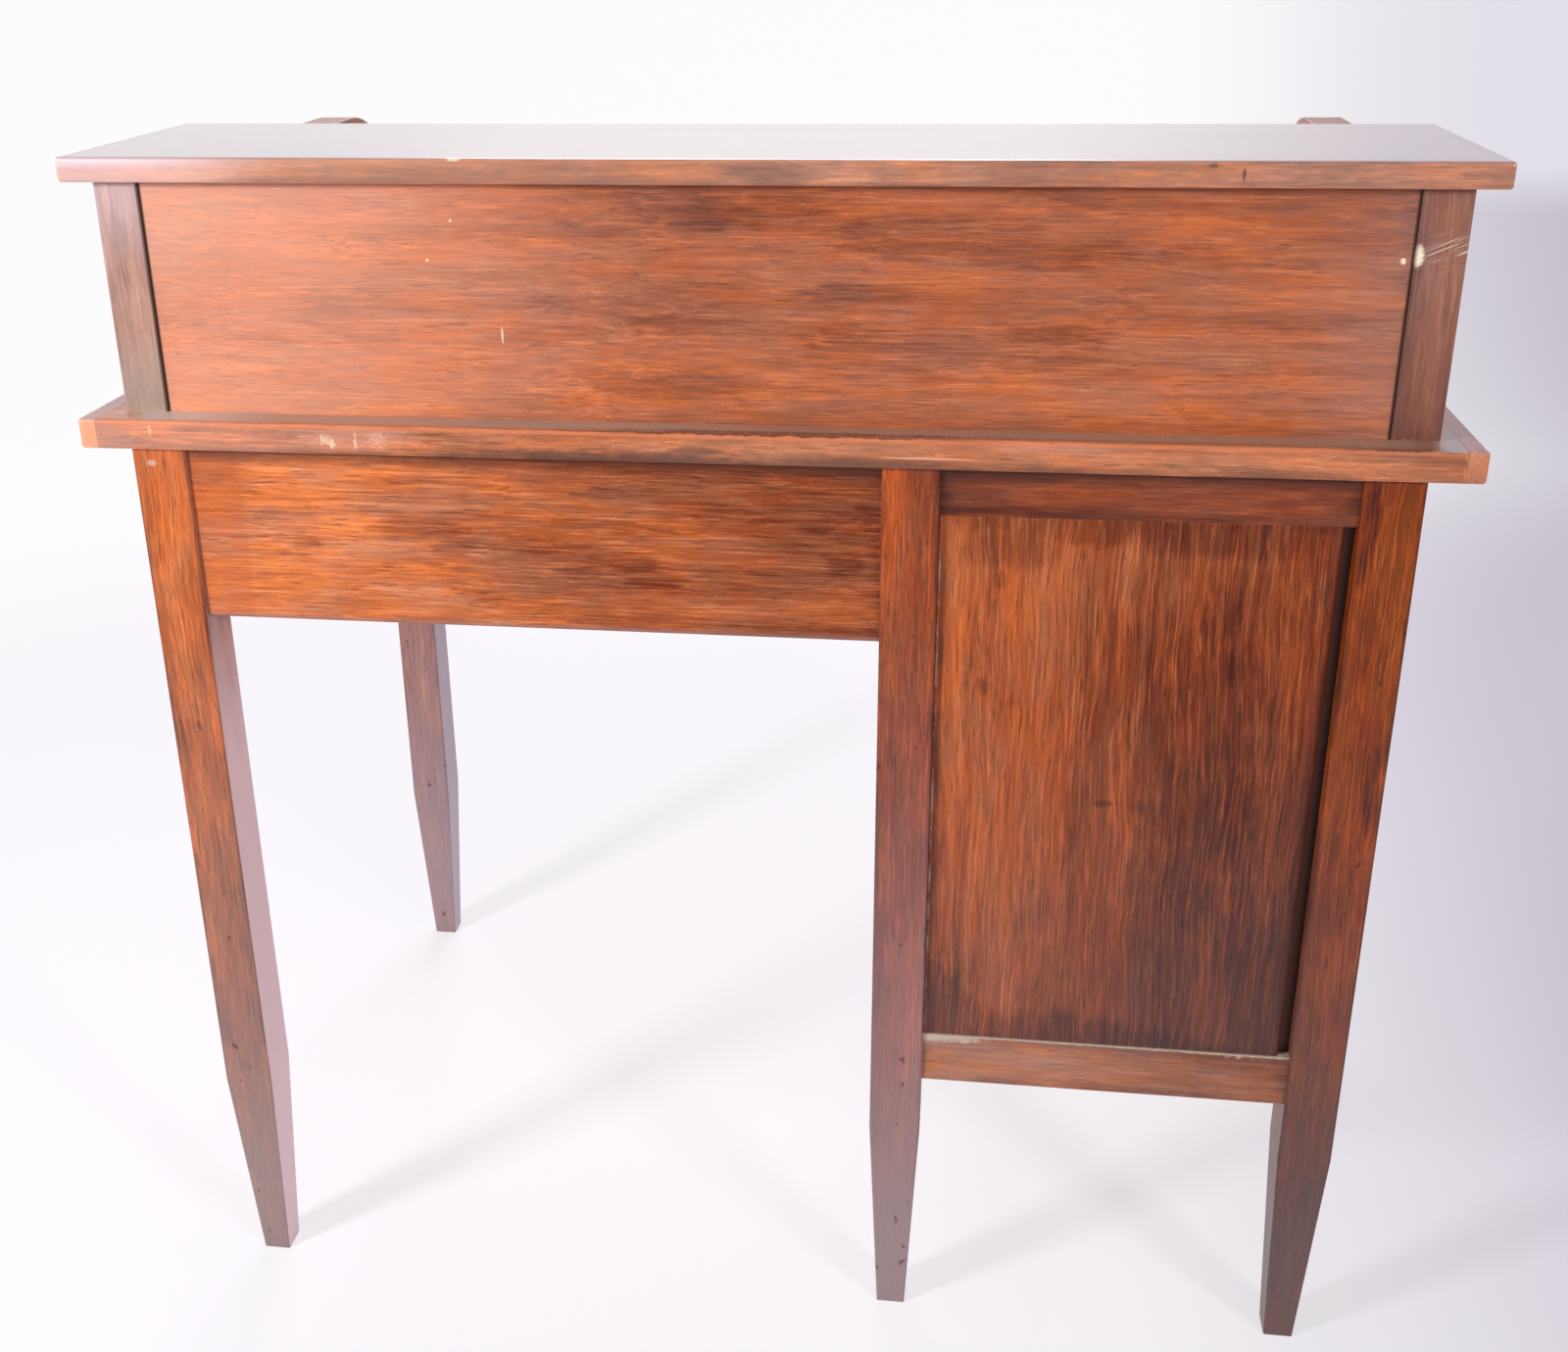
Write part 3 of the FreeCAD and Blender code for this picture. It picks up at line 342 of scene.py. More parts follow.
def wood(node, grain, tones, clouds=0.6, bands=0.4, streaks=0.7, flecks=0.3, pores=0.4,
         bend=0.02, drift=(), flame=0.6, dirt=0.5, dirt_width=12, wear=0.5, gloss=0.4,
         smudges=(), marks=None, seed=0.0):
    """The finish of one board; the arguments after tones say how strong each feature is.

    drift changes the tone slowly, as (axis, start, end, amount). The darkening along the edges of
    the box is partly soiling and partly painted shade. dirt_width and the smudges, which are
    (centre, reach, strength) in X and Z, are in millimetres. marks is a function."""
    finish = new_finish(node + "_wood")
    place = finish.place()
    figure = grain_figure(finish, place, grain, bend, seed)
    arris = nearest_arris(place, *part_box(node))
    fibre = finish.step(figure.streak, 0.5, 0.68)

    tone = (0.53 + (figure.cloud - 0.5) * clouds + (figure.mottle - 0.5) * (0.5 * clouds)
            + (figure.band - 0.5) * bands + (figure.streak - 0.5) * streaks
            + fibre * (0.12 * streaks))
    for axis, start, end, amount in drift:
        tone = tone + (finish.step(place["xyz".index(axis)], start, end) - 0.5) * amount

    # Darkening near the edges of the box: partly dirt and partly painted shade where parts meet.
    near_joint = 1 - finish.step(
        arris + (figure.cloud - 0.5) * (1.6 * dirt_width * MM), 0.0, dirt_width * MM)
    stain_and_shade = near_joint * (0.5 * dirt)
    rim = figure.streak * 0.3 + figure.mottle * 0.7
    for centre, reach, strength in smudges:
        stain_and_shade = stain_and_shade.most(smudge(finish, place, centre, reach, 0.8, rim) * strength)

    dark, middle, light = tones
    colour = finish.ramp(tone - stain_and_shade * 0.6, [
        (0.0, beyond(dark, middle)), (0.15, dark), (0.5, middle), (0.85, light),
        (1.0, beyond(light, middle))])
    amber = finish.step(figure.warmth, 0.44, 0.66) * flame
    brown = (1 - finish.step(figure.warmth, 0.34, 0.56)) * flame
    colour = finish.mix(amber, colour, AMBER, "MULTIPLY")
    colour = finish.mix(brown, colour, BROWN, "MULTIPLY")

    fleck = finish.step(figure.fleck, 0.56, 0.72) * finish.step(figure.cloud, 0.42, 0.62) * flecks
    pore = finish.step(figure.pore, 0.6, 0.76) * (0.4 * pores)
    hair = finish.step(figure.hair, 0.53, 0.62) * finish.step(figure.mottle, 0.36, 0.6)
    # Grime and painted shade along the edges, mixed in the shadow colour.
    grime_and_shade = near_joint * (0.45 * dirt) * (1.1 - 0.7 * fibre)
    lines = fleck.most(pore).most(hair * (0.52 * streaks)).most(grime_and_shade)
    colour = finish.mix(lines, colour, [part * SHADOW_SHARE for part in dark])
    rub = (1 - finish.step(arris, 0.3 * MM, 2.2 * MM)) * finish.step(figure.streak, 0.4, 0.6)
    colour = finish.mix(rub * wear, colour, light)

    rough = (0.4 - 0.14 * gloss + (figure.cloud - 0.5) * 0.12 + fleck * 0.1
             + near_joint * 0.1)
    if marks:
        colour, rough = marks(finish, place, colour, rough)
    relief = figure.streak * 0.6 + figure.pore * 0.4 - fleck * 0.5
    return finish.shade({
        "Base Color": colour, "Roughness": rough, "Specular IOR Level": 0.1 + 0.4 * gloss,
        "Coat Weight": gloss ** 2.0, "Coat Roughness": 0.16,
        "Normal": finish.bump(relief, 0.2 * MM, 0.4)})


def dress(node, material):
    """Give a CAD node its finish."""
    slots = nodes[node].data.materials
    if len(slots) == 0:
        slots.append(material)
    for index in range(len(slots)):
        slots[index] = material


def dress_board(node, grain, tones, **look):
    dress(node, wood(node, grain, tones, **look))


print("wood recipe ready")

# %% [markdown]
# ## Marks on a board
# Scuffs, chips, dust and old stains belong to one board and one place, and they are what makes the
# desk this one and not a new one. Each is a thin soft ellipse in a paler or darker colour, mixed
# over the wood, and several in one colour make a list: centre, reach and strength.

# %% Painting with soft marks
CREAM = (232, 218, 190)


def paint(finish, place, colour, marks, ink, wobble=None, ragged=0.5):
    """Mix a colour over the wood in each soft ellipse of a list."""
    cover = None
    for centre, reach, strength in marks:
        spot = smudge(finish, place, centre, reach, ragged, wobble) * strength
        cover = spot if cover is None else cover.most(spot)
    return finish.mix(cover, colour, ink)


print("paint ready")

# %% [markdown]
# ## The writing top
# The main board has its grain from side to side. Behind the gallery it makes a ledge that was never
# wiped: its grey is partly dust and partly a painted reflection of the pale room, paler towards +X,
# and it is dark where old polish has caught in it. The upper face at the -X end has the same
# painted reflection. The rear edge took the knocks: stains below, pale scuffs, a bare seam, an
# arris rubbed pale and split in two places. The edge, its arris and the ledge have a function each,
# and the later ones cover the earlier ones.

# %% Marks on the writing top
WRITING_LEVEL = 760 * MM
TOP_STAINS = (
    ((90, 737.5), (170, 12), 0.85), ((290, 737), (150, 6), 0.45), ((36, 747), (26, 5), 0.7),
    ((-70, 738), (150, 11), 0.7), ((-205, 737), (60, 9), 0.6), ((-350, 738), (60, 9), 0.6),
    ((-430, 758), (60, 4), 0.5))
TOP_BLOOM = (
    ((400, 748), (150, 20), 0.16), ((280, 751), (60, 12), 0.2), ((-210, 756), (60, 5), 0.15))
TOP_SCUFFS = (
    ((300, 749), (6, 5), 0.55), ((295, 746), (3, 4), 0.8), ((278, 748), (1.6, 7), 0.8),
    ((262, 750), (8, 6), 0.3), ((430, 752), (1.5, 6), 0.4))
BARE_SEAM = (((-123, 746.4), (38, 0.9), 0.7),)


def on_writing_level(finish, place):
    """1 on the upper face of the writing top and its lippings, 0 below it."""
    return finish.step(place[2], WRITING_LEVEL - 1.2 * MM, WRITING_LEVEL - 0.3 * MM)


def rear_edge_marks(finish, place, colour, rim, grit):
    x, y, _ = place
    rear = finish.step(y, 0.2975, 0.2985)
    dull_half = (1 - finish.step(x, 0.0, 0.12)) * rear
    bleached_end = finish.step(x, 0.42, 0.47) * rear
    colour = paint(finish, place, colour, TOP_STAINS, (66, 34, 24), rim, 0.4)
    colour = paint(finish, place, colour, TOP_BLOOM, (222, 184, 172), rim, 0.4)
    colour = finish.mix(dull_half * 0.2, colour, (120, 84, 66))
    colour = finish.mix(bleached_end * 0.35, colour, (150, 118, 110))
    colour = paint(finish, place, colour, TOP_SCUFFS, (224, 190, 164), grit, 0.8)
    return paint(finish, place, colour, BARE_SEAM, (238, 178, 142))


def rear_arris_marks(finish, place, colour, ripple):
    _, y, z = place
    arris = finish.step(y, 0.2955, 0.2985) * finish.step(z, 0.7555, 0.7575)
    worst = smudge(finish, place, (-10, 760), (170, 9)).most(
        smudge(finish, place, (-440, 760), (60, 9)))
    split = arris * worst * finish.step(z + (ripple - 0.5) * (4 * MM), 0.7586, 0.7596)
    colour = finish.mix(arris * 0.5, colour, (216, 120, 76))
    return finish.mix(split * 0.85, colour, (52, 26, 20))


def ledge_marks(finish, place, colour, ripple, grit):
    """The dust and the painted reflection on the ledge, and the ledge itself as a mask."""
    x, y, _ = place
    level = on_writing_level(finish, place)
    # A painted reflection of the pale room on the upper face at the -X end.
    end_sheen = level * (1 - finish.step(x, -0.462, -0.445))
    colour = finish.mix(end_sheen * 0.7, colour, (206, 190, 188))
    behind_gallery = finish.step(y, 0.2732, 0.2742) * (1 - finish.step(y, 0.2955, 0.2975))
    ledge = level * behind_gallery * (1 - finish.step(abs(x), 0.43, 0.462))
    # The ledge is grey with dust and with a painted reflection of the pale room, paler towards +X.
    dust_and_sheen = finish.mix(finish.step(x, -0.05, 0.1), (168, 129, 108), (178, 147, 131))
    dust_and_sheen = finish.mix(finish.step(x, 0.33, 0.42), dust_and_sheen, (204, 191, 186))
    groove = finish.step(y, 0.2895, 0.292) * (1 - finish.step(x, 0.05, 0.16))
    caught = smudge(finish, place, (-40, 293.5), (190, 6), wobble=ripple, axes="xy")
    dust_and_sheen = finish.mix((groove * 0.3).most(caught * 0.7), dust_and_sheen, (84, 48, 38))
    dust_and_sheen = finish.mix(finish.step(grit, 0.6, 0.7) * 0.5, dust_and_sheen, (212, 196, 186))
    return finish.mix(ledge * 0.95, colour, dust_and_sheen), ledge


def writing_top_marks(finish, place, colour, rough):
    x, y, z = place
    grit = finish.noise(x * 620, y * 620, z * 620, detail=1)
    wave = finish.noise(x * 26, y * 3, z * 3, detail=3)
    ripple = finish.noise(x * 90, y * 10, z * 240, detail=3)
    colour = rear_edge_marks(finish, place, colour, wave * 0.5 + ripple * 0.5, grit)
    colour = rear_arris_marks(finish, place, colour, ripple)
    colour, ledge = ledge_marks(finish, place, colour, ripple, grit)
    return colour, rough + ledge * 0.3


dress_board(
    "writing_top", "x", shades((184, 106, 64), 46, VIVID), clouds=1.1, streaks=1.1, gloss=0.6,
    dirt=0.3, wear=0.8, marks=writing_top_marks, seed=2.0)
print("writing top dressed")

# %% [markdown]
# ## Gallery top and lippings
# The gallery top kept the most polish, so it mirrors the room. On its face a painted reflection of
# the pale room adds to that, browner towards the -X end, and its rear edge has a painted highlight
# towards the +X end. The lippings are strips across the ends of the writing top with their grain
# the other way, and a dark line marks their joint; behind the gallery their tops have a painted
# reflection of the pale room. These marks depend only on the place, so smooth steps along X, Y and
# Z are enough, and ellipses add the few stains.

# %% Marks on the gallery top and the lippings
GALLERY_LEVEL = 941 * MM
GALLERY_STAINS = (
    ((285, 924.5), (110, 8), 0.5), ((90, 924), (160, 8), 0.35), ((140, 934), (50, 8), 0.3),
    ((-16, 931), (44, 11), 0.5), ((-314, 933), (1.4, 6), 1.0), ((-295, 938), (4, 2), 0.8),
    ((-110, 925), (60, 3), 0.25), ((220, 929), (150, 9), 0.35))
GALLERY_CHIP = (((195, 941), (6, 2.4), 0.9),)


def gallery_top_marks(finish, place, colour, rough):
    x, y, z = place
    wave = finish.noise(x * 20, y * 20, z * 20, detail=3)
    ripple = finish.noise(x * 60, y * 10, z * 200, detail=3)
    rim = wave * 0.5 + ripple * 0.5
    rear = finish.step(y, 0.284, 0.2885)
    # A painted highlight on the rear edge, paler towards +X and pale lavender near its top at that
    # end.
    edge_highlight = finish.step(x, -0.1, 0.47) * rear
    colour = finish.mix(edge_highlight * 0.36, colour, (204, 150, 122))
    cool_highlight = finish.step(x, 0.3, 0.44) * rear
    upper = finish.step(z, 0.931, 0.939)
    colour = finish.mix(cool_highlight * (0.25 + upper * 0.35), colour, (222, 208, 222))
    # A painted reflection of the pale room on the upper face, dimmer and browner towards -X.
    top_reflection = finish.step(z, GALLERY_LEVEL - 0.8 * MM, GALLERY_LEVEL - 0.1 * MM)
    dim_reflection = top_reflection * (1 - finish.step(x, -0.5, -0.05))
    colour = finish.mix(dim_reflection * 0.5, colour, (150, 84, 62))
    colour = finish.mix(top_reflection * 0.7, colour, (132, 99, 120))
    marked = paint(finish, place, colour, GALLERY_STAINS, (62, 34, 26), rim, 0.45)
    marked = paint(finish, place, marked, GALLERY_CHIP, CREAM, rim)
    edge = rear * finish.step(z, 0.922, 0.926)
    return finish.mix(edge, colour, marked), rough - top_reflection * 0.06


def lipping_marks(finish, place, colour, rough):
    x, y, _ = place
    rear = finish.step(y, 0.2965, 0.298)
    bare_end = rear * finish.step(x, 0.469, 0.471)
    dull_end = rear * (1 - finish.step(x, -0.471, -0.469))
    # A painted reflection of the pale room on the tops of the lippings behind the gallery.
    dust_and_sheen = on_writing_level(finish, place) * finish.step(y, 0.18, 0.2)
    joint = 1 - finish.step(abs(x), 0.4704, 0.4712)
    colour = finish.mix(bare_end * 0.7, colour, (224, 152, 120))
    colour = finish.mix(dull_end * 0.3, colour, (120, 88, 76))
    colour = finish.mix(dust_and_sheen * 0.45, colour, (158, 156, 178))
    return finish.mix(joint * 0.45, colour, (84, 44, 30)), rough


dress_board(
    "gallery_top", "x", shades((176, 108, 74), 46, VIVID), clouds=1.3, gloss=1.0, dirt=0.15,
    wear=0.7, marks=gallery_top_marks, seed=1.0)
dress_board(
    "top_lippings", "y", shades((196, 122, 84), 40, VIVID), clouds=1.0, gloss=0.6, dirt=0.0,
    wear=0.8, marks=lipping_marks, seed=3.0)
print("gallery top and lippings dressed")

# %% [markdown]
# ## The gallery ends
# They are thick boards with the grain upright. Their rear edges are worn and grey, and the rest is
# warmer, so a mask for the rear edge keeps the two apart. One has a head painted pale with a
# painted sheen, and a dusty foot.
# The other has a chip that shows pale wood, and beside it scrapes, which are noise stretched along
# their slant inside a soft ellipse.

# %% Gallery ends
CHIP = (((-428, 880.5), (4.6, 9), 1.0),)
SCRAPE_SLANT = 0.45


def rear_edge(finish, place):
    return finish.step(place[1], 0.262, 0.2675)


def grey_end_marks(finish, place, colour, rough):
    x, _, z = place
    rear = rear_edge(finish, place)
    foot = (1 - finish.step(z, 0.765, 0.83)) * rear
    head = finish.step(z, 0.85, 0.92) * rear
    joint = (1 - finish.step(x, 0.4262, 0.4282)) * rear
    colour = finish.mix(1 - rear, colour, (238, 178, 138), "MULTIPLY")
    colour = finish.mix(foot * 0.5, colour, (158, 146, 132))
    # A painted sheen at the head of the rear edge, pale and lavender.
    colour = finish.mix(head * 0.35, colour, (206, 190, 198))
    return finish.mix(joint * 0.8, colour, (62, 40, 34)), rough + foot * 0.1


def chipped_end_marks(finish, place, colour, rough):
    x, y, z = place
    rear = rear_edge(finish, place)
    colour = finish.mix(1 - rear, colour, (250, 208, 170), "MULTIPLY")
    fray = finish.noise(x * 34, y * 34, (z + x * SCRAPE_SLANT) * 900)
    scrapes = smudge(finish, place, (-447, 885), (20, 13)) * finish.step(fray, 0.54, 0.64)
    warm_foot = 1 - finish.step(z, 0.79, 0.86)
    joint = finish.step(x, -0.4282, -0.4262)
    marked = finish.mix(scrapes * 0.75, colour, (206, 190, 172))
    marked = paint(finish, place, marked, CHIP, CREAM, fray, 0.3)
    marked = finish.mix(warm_foot * 0.5, marked, (96, 50, 38))
    marked = finish.mix(joint * 0.7, marked, (52, 28, 22))
    return finish.mix(rear, colour, marked), rough


dress_board(
    "gallery_end_right", "z", shades((160, 120, 104), 34), clouds=1.2, flame=0.15, dirt=0.2,
    wear=0.4, marks=grey_end_marks, smudges=[((446, 880), (10, 40), 0.35)], seed=4.0)
dress_board(
    "gallery_end_left", "z", shades((144, 96, 80), 36), clouds=1.2, flame=0.3, dirt=0.3,
    wear=0.4, marks=chipped_end_marks, seed=5.0)
print("gallery ends dressed")

# %% [markdown]
# ## The gallery back
# One wide board closes the gallery. It is the widest plain board at the back of the desk, so its
# figure has to be lively without any part of it standing out: quiet clouds, fine streaks and many
# faint smudges. Towards +X it has a painted sheen in its upper part and a tone painted lighter,
# where the lamp falls on it most, and a few nicks show cream wood.

# %% Gallery back
BACK_SMUDGES = (
    ((16, 905), (80, 14), 0.3), ((10, 903), (24, 8), 0.35), ((-45, 914), (60, 8), 0.2),
    ((112, 841), (60, 8), 0.2), ((44, 829), (65, 9), 0.25), ((140, 819), (45, 6), 0.2),
    ((-72, 852), (50, 9), 0.25), ((-344, 836), (80, 9), 0.15), ((-93, 812), (90, 26), 0.25),
    ((130, 890), (90, 10), 0.1), ((270, 840), (70, 12), 0.15), ((-120, 890), (90, 20), 0.2),
    ((50, 787), (110, 14), 0.3), ((-155, 807), (90, 10), 0.25), ((-200, 824), (50, 12), 0.3),
    ((112, 822), (34, 9), 0.2), ((250, 888), (60, 10), 0.2), ((-200, 880), (110, 12), 0.25))
BACK_NICKS = (
    ((173.5, 820), (1.0, 8), 0.6), ((205, 898), (1.4, 1.4), 0.6), ((223, 871), (1.4, 1.4), 0.6),
    ((-419.5, 877), (2.4, 2.8), 1.0))


def gallery_back_marks(finish, place, colour, rough):
    x, y, z = place
    grit = finish.noise(x * 500, y, z * 500)
    # A painted sheen towards the upper +X corner, where the lamp shines on the board.
    painted_sheen = finish.step(x, 0.02, 0.42) * finish.step(z, 0.72, 0.93)
    pale_foot = finish.step(x, 0.1, 0.42) * (1 - finish.step(z, 0.762, 0.83))
    dull_end = 1 - finish.step(x, -0.42, -0.34)
    joint = finish.step(abs(x), 0.4235, 0.4250)
    colour = finish.mix(painted_sheen * 0.45, colour, (226, 176, 156))
    colour = finish.mix(pale_foot * 0.35, colour, (226, 172, 148))
    colour = finish.mix(dull_end * 0.25, colour, (120, 110, 108))
    colour = finish.mix(joint * 0.85, colour, (48, 24, 18))
    return paint(finish, place, colour, BACK_NICKS, CREAM, grit), rough


# The drift along X makes the board lighter towards +X: painted light falling off from the lamp.
dress_board(
    "gallery_back_panel", "x", shades((174, 98, 64), 46, VIVID), clouds=0.45, streaks=0.75,
    flecks=0.1, bend=0.04, drift=[("x", 0.02, 0.3, 0.18), ("z", 0.76, 0.92, -0.14)], dirt=0.2,
    wear=0.0, gloss=0.3, marks=gallery_back_marks, smudges=BACK_SMUDGES, seed=6.0)
print("gallery back dressed")

# %% [markdown]
# ## The legs
# Each leg is one stick with the grain along it. On the way down its colour fades to a grey one,
# palest at the tip, which is a painted reflection of the pale floor, and it has nicks. The inner
# sides of the two right legs are pale and greyish with a painted reflection of the bright room. The
# way a face looks, which its true normal gives, tells that side from the others.

# %% Legs
NICK = (60, 30, 22)
# The palest colour of the painted floor reflection, at the tip of a foot.
TIP_SHEEN = (196, 180, 182)
LEG_STEPS = (1.0, 0.62, 0.36)


def foot_marks(floor_sheen, tip_sheen):
    """Marks for a leg whose colour fades down to a painted reflection of the floor, palest at the
    tip.
    """
    def marks(finish, place, colour, rough):
        x, y, z = place
        foot = 1 - finish.step(z, 0.02, 0.68)
        tip = 1 - finish.step(z, 0.04, 0.28)
        nick = finish.step(finish.noise(x * 90, y * 90, z * 60), 0.71, 0.75)
        # The painted reflection of the pale floor, fading in towards the foot and palest at the
        # tip.
        colour = finish.mix(foot * 0.72, colour, floor_sheen)
        colour = finish.mix(tip * tip_sheen, colour, TIP_SHEEN)
        return finish.mix(nick * 0.6, colour, NICK), rough
    return marks


def flank_marks(foot, painted_sheen, least, more):
    """Marks of a foot, and a painted reflection on the inner side: the least at the top, and more
    lower down.
    """
    def marks(finish, place, colour, rough):
        x, y, z = place
        colour, rough = foot(finish, place, colour, rough)
        facing = finish.node("ShaderNodeNewGeometry").outputs["True Normal"]
        split = finish.node("ShaderNodeSeparateXYZ", inputs={0: facing})
        inward = 1 - finish.step(Value(finish, split.outputs[0]), -0.9, -0.6)
        cloudy = finish.noise(x, y * 60, z * 9, detail=4)
        sheen_lower_down = 1 - finish.step(z + (cloudy - 0.5) * 0.1, 0.46, 0.65)
        # The inner side takes a painted reflection of the bright room, more of it lower down.
        colour = finish.mix(inward * (least + sheen_lower_down * more), colour, painted_sheen)
        top_nick = smudge(finish, place, (436, 726), (5, 3)) * finish.step(y, 0.289, 0.29)
        return finish.mix(top_nick * 0.6, colour, (190, 170, 158)), rough
    return marks


# Each leg has its middle colour, the grey of the painted floor reflection at its foot and the share
# of the pale tip. The rear legs grow darker from +X to -X: partly their own tones and partly
# painted light falling off from the lamp at +X.
LEGS = {
    "leg_rear_right": ((165, 86, 45), (116, 114, 114), 0.16),
    "leg_rear_centre": ((138, 62, 30), (144, 130, 134), 0.16),
    "leg_rear_left": ((130, 54, 8), (78, 75, 77), 0.05),
    "leg_front_right": ((160, 104, 84), (150, 134, 140), 0.16),
    "leg_front_centre": ((156, 84, 54), (120, 104, 106), 0.16),
    "leg_front_left": ((154, 82, 52), (120, 104, 106), 0.16)}
# The colour of the painted reflection on an inner side, its share at the top, and the share added
# lower down.
FLANK_SHEENS = {
    "leg_rear_right": ((238, 208, 212), 0.12, 0.7),
    "leg_front_right": ((216, 204, 222), 0.58, 0.1)}
LEG_SMUDGES = {
    "leg_rear_left": [((-416, 705), (9, 50), 0.5), ((-444, 520), (10, 70), 0.3)],
    "leg_rear_right": [((448, 500), (12, 110), 0.3)]}
for index, (name, (colour, floor_sheen, tip_sheen)) in enumerate(LEGS.items()):
    marks = foot_marks(floor_sheen, tip_sheen)
    if name in FLANK_SHEENS:
        marks = flank_marks(marks, *FLANK_SHEENS[name])
    dress_board(
        name, "z", shades(colour, 42, LEG_STEPS), clouds=1.1, streaks=1.2, dirt=0.8,
        dirt_width=3, wear=0.2, gloss=0.25, smudges=LEG_SMUDGES.get(name, ()), marks=marks,
        seed=10.0 + index)
print("legs dressed", len(LEGS))

# %% [markdown]
# ## The apron and the rails
# They lie across the legs, so the joints show by the turn of the grain. Under the overhang of the
# writing top a painted shadow lies in a ragged strip. The bottom rail has a narrow ledge on which
# pale dust lies, thicker in two heaps, and a rough mask of fine noise makes it fluffy.

# %% Apron and rear rails
DUST = (192, 178, 160)
APRON_SMUDGES = (
    ((238, 681), (45, 9), 0.25), ((208, 667), (36, 8), 0.25), ((99, 659), (50, 12), 0.3),
    ((72, 648), (36, 9), 0.2), ((-66, 664), (20, 10), 0.3), ((24, 702), (60, 9), 0.1),
    ((145, 669), (60, 14), 0.2), ((-100, 700), (30, 20), 0.2), ((326, 668), (16, 9), 0.25))


def overhang_shadow(finish, place, colour):
    """A painted shadow close under the overhang of the writing top."""
    x, y, z = place
    high = finish.noise(x * 40, y * 40, z * 160, detail=3)
    # A painted shadow in a ragged strip under the overhang of the writing top.
    reach = finish.step(z + (high - 0.5) * (6 * MM), 0.7235, 0.7325)
    return finish.mix(reach * 0.6, colour, (58, 30, 22))


def apron_marks(finish, place, colour, rough):
    x, _, z = place
    strip = finish.step(x, 0.368, 0.376)
    lower_arris = 1 - finish.step(z, 0.6075, 0.6125)
    colour = finish.mix(strip * 0.35, colour, (170, 78, 34))
    colour = finish.mix(lower_arris * 0.55, colour, (150, 112, 104))
    return overhang_shadow(finish, place, colour), rough


def top_rail_marks(finish, place, colour, rough):
    return overhang_shadow(finish, place, colour), rough


def bottom_rail_marks(finish, place, colour, rough):
    x, y, z = place
    fluff = finish.noise(x * 160, y * 160, z * 160, detail=3)
    ledge = finish.step(z + (fluff - 0.5) * (1.6 * MM), 0.2750, 0.2756)
    heap = smudge(finish, place, (-372, 276), (28, 5), wobble=fluff)
    thick = smudge(finish, place, (-140, 275), (50, 7), wobble=fluff)
    cover = (ledge * 0.9).most(heap * finish.step(fluff, 0.5, 0.6) * 0.6).most(thick * 0.8)
    return finish.mix(cover, colour, DUST), rough + cover * 0.4


# The drift along X makes the apron lighter towards +X: painted light falling off from the lamp.
dress_board(
    "rear_apron", "x", shades((166, 90, 53), 48), clouds=0.7, streaks=1.0, flecks=0.4, flame=0.7,
    drift=[("x", -0.1, 0.42, 0.42), ("z", 0.6, 0.66, -0.08)], dirt=0.15, wear=0.3, gloss=0.2,
    marks=apron_marks, smudges=APRON_SMUDGES, seed=20.0)
dress_board(
    "pedestal_back_top_rail", "x", shades((122, 58, 34), 44, VIVID), clouds=0.9, wear=0.2,
    gloss=0.25, marks=top_rail_marks, seed=23.0)
# The drift along X makes the rail darker towards -X: painted light falling off from the lamp at +X.
dress_board(
    "pedestal_back_bottom_rail", "x", shades((150, 95, 73), 34), clouds=0.9,
    drift=[("x", -0.4, -0.2, 0.3)], dirt=0.3, wear=0.3, marks=bottom_rail_marks, seed=24.0)
print("apron and rear rails dressed")

# %% [markdown]
# ## The pedestal's back panel
# The panel stands upright between the rails with its grain upright too, darker than the frame. Its
# foot has a painted reflection of the pale floor, greyer towards the bottom, it has dark spots, and
# pale crumbs of old glue show in the joint on one side. Its tone is painted lighter towards +X, as
# light falls off from the lamp. On the other side it steps down to a thin edge, which leaves a dark
# gap: the field darkens towards it with painted shade, the bottom of the gap has a lit rim, and a
# painted shadow lies in its deepest part beside the leg.

# %% Back panel
PANEL_SMUDGES = (
    ((-146, 300), (34, 60), 0.6), ((-230, 276), (150, 34), 0.45), ((-240, 696), (110, 16), 0.4),
    ((-185, 680), (40, 22), 0.35), ((-325, 690), (80, 18), 0.3), ((-290, 360), (70, 120), 0.12),
    ((-385, 330), (36, 110), 0.15), ((-280, 560), (50, 120), 0.15),
    ((-240, 510), (26, 110), 0.15), ((-325, 520), (60, 170), 0.28))
PANEL_SPOTS = (
    ((-256, 485.5), (11, 3.5), 0.6), ((-281, 483), (8, 7), 0.4), ((-165, 575), (7, 9), 0.4),
    ((-176, 657), (7, 8), 0.35))


def panel_marks(finish, place, colour, rough):
    x, y, z = place
    crumbs = finish.noise(x * 90, y * 90, z * 34, detail=6, roughness=0.75)
    glue = finish.step(x, -0.1345, -0.1335) * finish.step(crumbs, 0.44, 0.58)
    # A painted reflection of the pale floor, greyer towards the foot.
    foot_sheen = 1 - finish.step(z, 0.26, 0.62)
    # Painted shade on the field towards the gap, and a painted shadow in the gap beside the leg.
    edge_shade = 1 - finish.step(x, -0.4030, -0.390)
    lit_rim = 1 - finish.step(x, -0.4022, -0.4012)
    gap_shadow = 1 - finish.step(x, -0.4085, -0.4030)
    colour = finish.mix(glue * 0.55, colour, (196, 168, 146))
    colour = paint(finish, place, colour, PANEL_SPOTS, (48, 20, 14), crumbs, 0.9)
    colour = finish.mix(foot_sheen * 0.22, colour, (124, 106, 104))
    colour = finish.mix(edge_shade * 0.45, colour, (62, 28, 18))
    colour = finish.mix(lit_rim, colour, (104, 54, 36))
    return finish.mix(gap_shadow * 0.9, colour, (34, 18, 16)), rough


